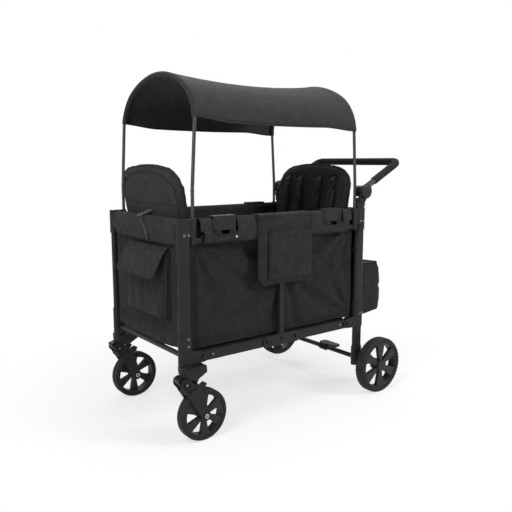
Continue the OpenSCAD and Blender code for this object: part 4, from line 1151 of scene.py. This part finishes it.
def mirrorPad(o, name):
    bm = bmesh.new()
    bm.from_mesh(o.data)
    for v in bm.verts:
        v.co.x = 2 * midX - v.co.x
    bmesh.ops.reverse_faces(bm, faces=bm.faces)
    return makePiece(bm, name, "seatCloth")


def outerDip(s, y, edge):
    # border line, two cross seams and slack on the outer face
    soft, arch = seat["seamSoft"], seat["topBow"] * (1 - (y / 0.16) ** 2)
    dip = 0.0022 * groove(edge - seat["borderIn"], soft) * ramp(0.372, 0.35, s)
    dip += 0.0022 * groove(s - seat["topSeam"] - arch, soft) * ramp(0.17, 0.15, abs(y))
    dip += 0.0016 * groove(s - seat["lowSeam"], soft) * ramp(0.205, 0.19, abs(y))
    slack = 0.5 + cloud(9 * s + 5 * y, 13 * y - 6 * s, 0, 41)
    return dip + 0.0016 * slack * ramp(0.03, 0.08, edge)


def innerDip(s, y, edge):
    # border line, dimples at the slots and slack on the middle face
    dip = 0.0016 * groove(edge - seat["innerBorder"], 0.004) * ramp(0.38, 0.34, s)
    for strap in harness["straps"]:
        dip += 0.0035 * groove(y - strap, 0.026) * groove(s - harness["slotUp"], 0.011)
    dip += 0.0014 * (0.5 + cloud(10 * s, 11 * y, 0, 42))
    return dip + 0.0012 * cloud(38 * y, 6 * s, 0, 43) * ramp(0.30, 0.36, s)


def sewBack(o, end):
    # seams pressed into both faces of the pad
    pivot, facing = seatPoint(end, 0, 0), seatFacing(end)
    along = Vector((end * math.sin(leanTurn), 0, math.cos(leanTurn)))
    for v in o.data.vertices:
        rel = v.co - pivot
        s, y, off = rel.dot(along), v.co.y, rel.dot(facing)
        dip = (outerDip if off < 0 else innerDip)(s, y, backHalf(s) - abs(y))
        v.co -= facing * (dip if off > 0 else -dip)


def dressBack(o, end, part, body):
    tree, facing = surfaceTree(o), seatFacing(end)

    def laid(points, side, lift):
        # points [s, y] laid on the pad's middle side (1) or outer side (-1)
        return onSurface(tree, [seatPoint(end, s, y) for s, y in points], facing * -side, lift)
    tubes = []
    for off in seat["pipingOff"]:
        line = [seatPoint(end, s, y * 1.02, off) for s, y in backOutline()]
        tubes.append((nearSurface(tree, line, seat["lift"]), seat["piping"], 2))
    top, across = seat["topSeam"], [k / 20 for k in range(-20, 21)]
    left = [(s, y) for s, y in backOutline(seat["borderIn"], low=0.01) if s < top and y > 0]
    for line in (left, [(s, -y) for s, y in left]):
        tubes.append((laid(line, -1, 0.0006), seat["border"], 2))
    line = [(top + seat["topBow"] * (1 - k ** 2), abs(left[-1][1]) * k) for k in across]
    tubes.append((laid(line, -1, 0.0006), seat["topWide"], 2))
    line = [(seat["lowSeam"], seat["lowReach"] * k) for k in across]
    tubes.append((laid(line, -1, 0.0003), seat["lowWide"], 1))
    for i in range(seat["rungs"]):
        s = seat["rungLow"] + seat["rungStep"] * i
        for side in (1, -1):
            rung = [(s + 0.0015 * k, side * (backHalf(s) - seat["rungIn"] + 0.0055 * k))
                    for k in range(5)]
            tubes.append((laid(rung, -1, 0.0002), seat["rungWide"], 1))
    piped = makeTrim(part + "SeatPiping", tubes)
    for q in (o, piped):
        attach(q, body)
    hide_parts(part + "_seat_back")
    makeHarness(harness, laid, end, part, body)


def makeHarness(h, laid, end, part, body):
    # slots, webbing, adjusters and padded sleeves on the middle side
    web, hard, pads, edges = bmesh.new(), bmesh.new(), bmesh.new(), bmesh.new()
    facing, right = seatFacing(end), Vector((0, 1, 0))
    up = facing.cross(right).normalized()
    slotUp, lockUp, half, thick = h["slotUp"], h["adjusterUp"], h["padHalf"], h["padThick"] / 2
    middle, tall = (h["padTop"] + h["padLow"]) / 2, (h["padTop"] - h["padLow"]) / 2
    run = ((slotUp - 0.001, 0.0010), (slotUp - 0.005, 0.0045), (slotUp - 0.012, 0.0085),
           (lockUp, 0.0110), (lockUp - 0.010, 0.0115), (h["padTop"] - 0.010, 0.0105))
    tail = ((h["padLow"] + 0.01, 0.0105),) + h["tail"]

    def above(s, y, lift):
        return laid([(s, y)], 1, 0.0)[0] + facing * lift

    def addWeb(line, face=facing, width=h["web"]):
        addRibbon(web, line, [face] * len(line), width, h["webThick"])

    def padShape(y, face, spine):
        def at(u, v):
            k, t = closing(u), closing(v)
            s = middle + tall * t
            key = round(v * 1000)
            if key not in spine:
                spine[key] = above(s, y, 0.0036 + thick + 0.003 * ramp(0.30, 0.20, s))
            full = (1 - abs(k) ** 5) * (1 - abs(t) ** 18)
            full *= 1 + 0.10 * cloud(40 * y + 9 * k, 26 * s, 0, 44)
            wide = k * roundedHalf(half, half, abs(s - middle) - tall + half)
            drift = 0.003 * math.sin(11 * s + 30 * y)
            return spine[key] + Vector((0, wide + drift, 0)) + facing * (face * thick * full)
        return at
    for y in h["straps"]:
        slot = [(slotUp + b, y + a)
                for a, b in roundSquare(h["slotHalf"], -h["slotTall"], h["slotTall"], 0.0044, 5)]
        addTube(edges, laid(slot, 1, 0.0004), h["slotEdge"], 2, True)
        mouth = laid([(slotUp, y + h["mouthHalf"] * k / 4) for k in range(-4, 5)], 1, 0.0005)
        addRibbon(edges, mouth, [facing] * len(mouth), 0.0065, 0.0004)
        addWeb([above(s, y, lift) for s, lift in run])
        addWeb([above(s, y + 0.004 * math.sin(9 * s), lift) for s, lift in tail])
        # ladder-lock: a rounded frame with two bars
        centre = above(lockUp, y, 0.0112)
        ring = [centre + right * a + up * b
                for a, b in roundSquare(h["lockHalf"], -h["lockTall"], h["lockTall"], 0.004, 4)]
        addTube(hard, ring, h["lockWire"], 2, True)
        for b in h["bars"]:
            bar = [centre + right * (h["barHalf"] * k) + up * b for k in (-1, 0, 1)]
            addTube(hard, bar, h["barWire"], 2)
        spine = {}
        for face in (1, -1):
            sheetMesh(pads, 12, 44, padShape(y, face, spine))
        for side in (0, 1):
            addTube(edges, columnLine(padShape(y, 1, spine), 40, side)[1:-1], h["padEdge"], 2)
    bmesh.ops.remove_doubles(pads, verts=pads.verts, dist=0.0002)
    bmesh.ops.recalc_face_normals(pads, faces=pads.faces)
    # hang loop at the upper outer edge
    addWeb([seatPoint(end, s, h["loopY"], off) for s, off in h["loop"]], -facing, h["loopWide"])
    strap = makePiece(web, part + "HarnessWebbing", "webbing")
    locks = makePiece(hard, part + "HarnessAdjusters", "mouldedBlack")
    sleeves = makePiece(pads, part + "HarnessPads", "seatCloth")
    bound = makePiece(edges, part + "HarnessBinding", "pipingCloth")
    for q in (strap, locks, sleeves, bound):
        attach(q, body)


def dressPan(o, end, part, body):
    tree, p, tubes = surfaceTree(o), pan, []
    mid, reach = (p["backX"] + p["frontX"]) / 2, (p["backX"] - p["frontX"]) / 2
    for z in p["pipingZ"]:
        ring = [place(end * b, a, z)
                for a, b in roundSquare(p["half"], mid - reach, mid + reach, p["corner"], 8)]
        tubes.append((nearSurface(tree, ring, seat["lift"]), p["piping"], 2, True))
    for x in p["seams"]:
        line = [place(end * x, p["seamHalf"] * k / 24, p["topZ"]) for k in range(-24, 25)]
        tubes.append((onSurface(tree, line, Vector((0, 0, -1)), 0.0002), p["seamWide"], 1))
    piped = makeTrim(part + "PanPiping", tubes)
    for q in (o, piped):
        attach(q, body)
    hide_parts(part + "_seat_pan")


def sewPan(o, end):
    for v in o.data.vertices:
        x, y = end * (v.co.x - midX), v.co.y
        if v.co.z > pan["upperZ"]:
            dip = sum(pan["seamDeep"] * groove(x - q, pan["seamSoft"]) for q in pan["seams"])
            slack = 0.0014 * (0.5 + cloud(11 * x, 9 * y, 0, 45))
            v.co.z -= dip * ramp(0.235, 0.215, abs(y)) + slack


def makeSeats():
    rear = swellPad("rear_seat_back", "rearSeatBack", seatFacing(1))
    sit = swellPad("rear_seat_pan", "rearSeatPan", Vector((0, 0, 1)))
    front, frontSit = mirrorPad(rear, "frontSeatBack"), mirrorPad(sit, "frontSeatPan")
    for o, end, part in ((rear, 1, "rear"), (front, -1, "front")):
        sewBack(o, end)
        dressBack(o, end, part, part + "_back")
    for o, end, part in ((sit, 1, "rear"), (frontSit, -1, "front")):
        sewPan(o, end)
        dressPan(o, end, part, part + "_pan")
    print("seats made")


makeSeats()


# small hardware: screws, springs, tyre lugs, strap with its buckle, snaps and hook piping

# node, x, z and radius of each screw, by body
screws = dict(
    front_frame=[("front_corner_caps", -0.457, 0.780, 0.0052),
                 ("front_corner_caps", -0.4385, 0.780, 0.0052),
                 ("front_hinge_lugs", -0.446, 0.400, 0.0050),
                 ("front_hinge_lugs", -0.4465, 0.373, 0.0050)],
    rear_frame=[("rear_corner_caps", 0.448, 0.780, 0.0052),
                ("rear_corner_caps", 0.4655, 0.780, 0.0052),
                ("rear_hinge_lugs", 0.4570, 0.358, 0.0050),
                ("rear_hinge_lugs", 0.4740, 0.358, 0.0050),
                ("rear_posts", 0.4560, 0.862, 0.0056)],
    handle=[("handle_bar", 0.5210, 0.9380, 0.0056)],
    front_lower=[("front_lower_rails", -0.337, 0.324, 0.0052)],
    rear_lower=[("rear_lower_rails", 0.337, 0.324, 0.0052)],
)


def addLathe(bm, profile, seat, normal, steps=20):
    # profile of [radius, height] pairs, spun about normal through seat
    start = set(bm.verts)
    line = [bm.verts.new((r, 0, h)) for r, h in profile]
    edges = [bm.edges.new(pair) for pair in zip(line, line[1:])]
    bmesh.ops.spin(bm, geom=line + edges, cent=(0, 0, 0), axis=(0, 0, 1), angle=2 * math.pi,
                   steps=steps, use_merge=True)
    fresh = [v for v in bm.verts if v not in start]
    bmesh.ops.remove_doubles(bm, verts=fresh, dist=0.00002)
    fresh = [v for v in bm.verts if v not in start]
    turn = Vector((0, 0, 1)).rotation_difference(normal).to_matrix().to_4x4()
    bmesh.ops.transform(bm, matrix=Matrix.Translation(seat) @ turn, verts=fresh)
    bmesh.ops.recalc_face_normals(bm, faces=list({f for v in fresh for f in v.link_faces}))


def screwProfile(r):
    # domed head with a round socket
    return [(0, 0.16 * r), (0.40 * r, 0.16 * r), (0.44 * r, 0.52 * r), (0.72 * r, 0.46 * r),
            (0.93 * r, 0.28 * r), (r, 0.04 * r), (r, -0.30 * r)]


def outerFace(tree, x, z, side):
    return tree.ray_cast(place(x, side * 0.45, z), Vector((0, -side, 0)))[0]


def makeScrews():
    trees = {}
    for body, spots in screws.items():
        bm = bmesh.new()
        for node, x, z, r in spots:
            if node not in trees:
                trees[node] = surfaceTree(nodes[node])
            for side in (-1, 1):
                hit = outerFace(trees[node], x, z, side)
                if hit is None:
                    print("no seat for screw", node, x, z)
                    continue
                addLathe(bm, screwProfile(r), hit, Vector((0, side, 0)))
        words = body.split("_")
        name = words[0] + "".join(w.title() for w in words[1:]) + "Screws"
        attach(makePiece(bm, name, "boltBronze"), body)
    print("screws made")


casterBolts = dict(pivot=(-0.471, 0.239), axle=(-0.388, 0.100), pivotR=0.0050, axleR=0.0048,
                   washer=(0.0052, 0.0090, 0.0018), sunk=-0.001, track=0.281, reach=0.09)


def makeCasterBolts(c):
    # pivot bolt in its recess, and axle bolt inside a bright washer, on both faces of each fork
    inner, outer, thick = c["washer"]
    ring = [(inner, c["sunk"]), (inner, thick), (0.9 * outer, thick), (outer, 0.6 * thick),
            (outer, c["sunk"]), (inner, c["sunk"])]
    for side, tag in bothSides:
        tree = surfaceTree(nodes["fork_" + tag.lower()])
        bolts, washers = bmesh.new(), bmesh.new()
        for face in (-1, 1):
            aim = Vector((0, -face, 0))
            for (x, z), r in ((c["pivot"], c["pivotR"]), (c["axle"], c["axleR"])):
                far = place(x, side * c["track"] + face * c["reach"], z)
                hit, _, _, _ = tree.ray_cast(far, aim)
                addLathe(bolts, screwProfile(r), hit, -aim)
            addLathe(washers, ring, hit, -aim)
        for bm, name, finish in ((bolts, "Bolts", "boltBronze"), (washers, "Washers", "snapSteel")):
            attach(makePiece(bm, "fork" + name + tag, finish), "fork_" + tag.lower())
    print("caster bolts made")


hingeDisc = dict(x=0.466, z=0.911, seat=0.2985,
                 profile=[(0, 0.0100), (0.021, 0.0098), (0.0275, 0.0086), (0.0315, 0.0058),
                          (0.0328, 0.0024), (0.0328, 0), (0.006, 0), (0.006, -0.0065),
                          (0, -0.0065)])


def makeHingeDiscs(h):
    # plain round cover over each handle hinge, carried by the button behind it
    for side, tag in bothSides:
        bm = bmesh.new()
        seatAt = place(h["x"], side * h["seat"], h["z"])
        addLathe(bm, h["profile"], seatAt, Vector((0, side, 0)), 40)
        disc = makePiece(bm, "hingeDisc" + tag, "mouldedBlack")
        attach(disc, "button_" + tag.lower())
    print("hinge discs made")


spring = dict(top=(-0.482, 0.2230), low=(-0.459, 0.1985), radius=0.0105, wire=0.0019, turns=5,
              perTurn=24, track=0.281)


def makeSprings(s):
    top, low = (Vector((s[key][0], 0, s[key][1])) for key in ("top", "low"))
    run, across = low - top, Vector((0, 1, 0))
    out = run.cross(across).normalized()
    steps = s["perTurn"] * s["turns"]
    for side, tag in bothSides:
        line = []
        for i in range(steps + 1):
            a = 2 * math.pi * i / s["perTurn"]
            p = top + run * (i / steps) + (across * math.cos(a) + out * math.sin(a)) * s["radius"]
            line.append(place(p.x, p.y + side * s["track"], p.z))
        o = makeTrim("casterSpring" + tag, [(line, s["wire"], 2)], "rodMetal")
        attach(o, "fork_" + tag.lower())
    print("springs made")


# lug holds a block's length, height and width
wheels = [dict(name="frontTread", node="front_tyre_", body="front_wheel_", band=0.0125, lugs=34,
               lug=(0.0060, 0.0014, 0.0080)),
          dict(name="rearTread", node="rear_tyre_", body="rear_wheel_", band=0.0155, lugs=44,
               lug=(0.0060, 0.0014, 0.0090))]
tread = dict(bandWire=0.0013, bandSteps=96, keepIn=0.0004)


def makeTread(w, tag):
    # blocks on both shoulders and a raised band on both side walls
    low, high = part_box(w["node"] + tag)
    centre = (Vector(low) + Vector(high)) / 2
    outer, half = (high.z - low.z) / 2, (high.y - low.y) / 2
    tree = surfaceTree(nodes[w["node"] + tag])
    bm = bmesh.new()
    long, proud, wide = w["lug"]
    size = Matrix.Diagonal((long, wide, proud * 0.5, 1))

    def spot(a, radius, y):
        return centre + Vector((math.cos(a), 0, math.sin(a))) * radius + Vector((0, y, 0))
    for side in (-1, 1):
        for i in range(w["lugs"]):
            a = 2 * math.pi * (i + (0.5 if side > 0 else 0)) / w["lugs"]
            aim = spot(a, outer - 0.012, side * (half - 0.002))
            far = spot(a, outer + 0.004, side * (half + 0.006))
            hit, normal, _, _ = tree.ray_cast(far, (aim - far).normalized())
            if hit is None:
                continue
            tangent = Vector((-math.sin(a), 0, math.cos(a)))
            over = tangent.cross(normal).normalized()
            turn = Matrix((tangent, over, normal)).transposed().to_4x4()
            bmesh.ops.create_cube(bm, size=1.0, matrix=Matrix.Translation(hit) @ turn @ size)
        ring = []
        for i in range(tread["bandSteps"]):
            a = 2 * math.pi * i / tread["bandSteps"]
            far = spot(a, outer - w["band"], side * (half + 0.02))
            hit, _, _, _ = tree.ray_cast(far, Vector((0, -side, 0)))
            if hit:
                ring.append(hit)
        if len(ring) == tread["bandSteps"]:
            addTube(bm, ring, tread["bandWire"], 2, True)
    limit = outer - tread["keepIn"]
    for v in bm.verts:
        rel = v.co - centre
        far = math.hypot(rel.x, rel.z)
        if far > limit:
            v.co.x, v.co.z = centre.x + rel.x * limit / far, centre.z + rel.z * limit / far
    o = makePiece(bm, w["name"] + tag.title(), "tyreRubber", smooth=False)
    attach(o, w["body"] + tag)


strap = dict(path=[(0.002, 0.8275), (-0.004, 0.822), (-0.016, 0.808), (-0.036, 0.794),
                   (-0.052, 0.781), (-0.058, 0.768), (-0.059, 0.757), (-0.058, 0.748)],
             over=[(-0.4318, 0.010, -0.0325), (-0.4325, 0.010, -0.0125), (-0.4365, 0.010, -0.0025),
                   (-0.444, 0.009, 0.0025), (-0.454, 0.008, 0.0037), (-0.462, 0.006, 0.0027),
                   (-0.4705, 0.004, -0.0010)],
             ridge=(-0.4545, 0.815), width=0.024, thick=0.0018, buckle=(-0.4545, 0.008, 0.0045),
             long=0.026, wide=0.0165, wire=0.0032, bars=(-0.4, 0.15, 0.6), barWire=0.0028)


def makeStrap(s):
    tree, high = surfaceTree(bpy.data.objects["tubEndCollarFront"]), tub["collarHigh"]
    hanging = [place(-0.50, y, z) for y, z in s["path"]]
    line = [place(x, y, high + z) for x, y, z in s["over"]]
    line += onSurface(tree, hanging, Vector((1, 0, 0)), 0.0014)
    line = spread(line, 48, closed=False)
    ridgeX, ridgeZ = place(s["ridge"][0], 0, 0).x, s["ridge"][1]
    facing = []
    for p in line:
        away = Vector((p.x - ridgeX, 0, p.z - ridgeZ))
        below = p.z < ridgeZ and p.x < ridgeX
        facing.append(Vector((-1, 0, 0)) if below else away.normalized())
    bm = bmesh.new()
    addRibbon(bm, line, facing, s["width"], s["thick"])
    web = makePiece(bm, "frontStrap", "webbing")

    # ladder-lock lying across the top of the collar
    x, y, z = s["buckle"]
    middle = place(x, y, high + z)
    along = Vector((0.93, -0.10, 0.34)).normalized()
    across = Vector((0.10, 0.99, 0.0)).normalized()
    up = along.cross(across).normalized()
    ring = [middle + along * b + across * a + up * 0.003
            for a, b in roundSquare(s["wide"], -s["long"], s["long"], 0.006, 5)]
    tubes = [(ring, s["wire"], 3, True)]
    for b in s["bars"]:
        bar = [middle + along * (s["long"] * b) + across * (s["wide"] * k) + up * 0.0035
               for k in (-1, -0.5, 0, 0.5, 1)]
        tubes.append((bar, s["barWire"], 2))
    buckle = makeTrim("frontBuckle", tubes, "buckleGrey")
    for o in (web, buckle):
        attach(o, "front_frame")
    print("strap made")


hookEdge = dict(radius=0.0027, out=0.0015, top=0.829, lips=(-0.034, 0.034), lipHalf=0.018,
                lipLow=0.772, lipHigh=0.7895, lipThick=0.003, snapX=-0.231, snapZ=0.763,
                snapR=0.0052, lift=0.0006)


def makeHookEdges(h):
    t = tub
    w, low, r = t["hookHalf"] + h["out"], t["hookZ"] - h["out"], t["hookRound"]
    right = [(w, h["top"] - (h["top"] - low - r) * k / 8) for k in range(8)]
    right += [(w - r + r * math.cos(math.pi / 16 * k), low + r - r * math.sin(math.pi / 16 * k))
              for k in range(9)]

    def lipShape(middle, side):
        def at(u, v):
            k = 2 * u - 1
            z = h["lipLow"] + (h["lipHigh"] - h["lipLow"]) * v
            half = h["lipHalf"] * (1 - 0.30 * ramp(0.4, 1.0, v))
            bulge = 0.0022 * math.sin(math.pi * v) + 0.0012 * (1 - k * k)
            return place(middle + k * half, side * (t["collarOut"] + h["lift"] + bulge), z)
        return at
    for side, tag in bothSides:
        tree = surfaceTree(bpy.data.objects["tubCollar" + tag])
        bm = bmesh.new()
        for middle in (-t["hookX"], t["hookX"]):
            path = [(middle + a, b) for a, b in right]
            path += [(middle - a, b) for a, b in reversed(right)]
            line = [place(x, side * 0.30, z) for x, z in spreadFlat(path, 60)]
            line = onSurface(tree, line, Vector((0, -side, 0)), h["lift"])
            addTube(bm, line, h["radius"], 2)
            for shift in h["lips"]:
                addSlab(bm, 12, 8, lipShape(middle + shift, side), h["lipThick"])
        edge = makePiece(bm, "tubHookPiping" + tag, "pipingCloth")
        bm = bmesh.new()
        hit = outerFace(tree, h["snapX"], h["snapZ"], side)
        if hit:
            out = Vector((0, side, 0))
            addLathe(bm, screwProfile(h["snapR"]), hit + out * h["lift"], out)
        snap = makePiece(bm, "tubSnap" + tag, "snapSteel")
        for o in (edge, snap):
            foldSide(o)
    print("hook edges made")


makeScrews()
makeCasterBolts(casterBolts)
makeHingeDiscs(hingeDisc)
makeSprings(spring)
for w in wheels:
    for tag in ("left", "right"):
        makeTread(w, tag)
makeStrap(strap)
makeHookEdges(hookEdge)
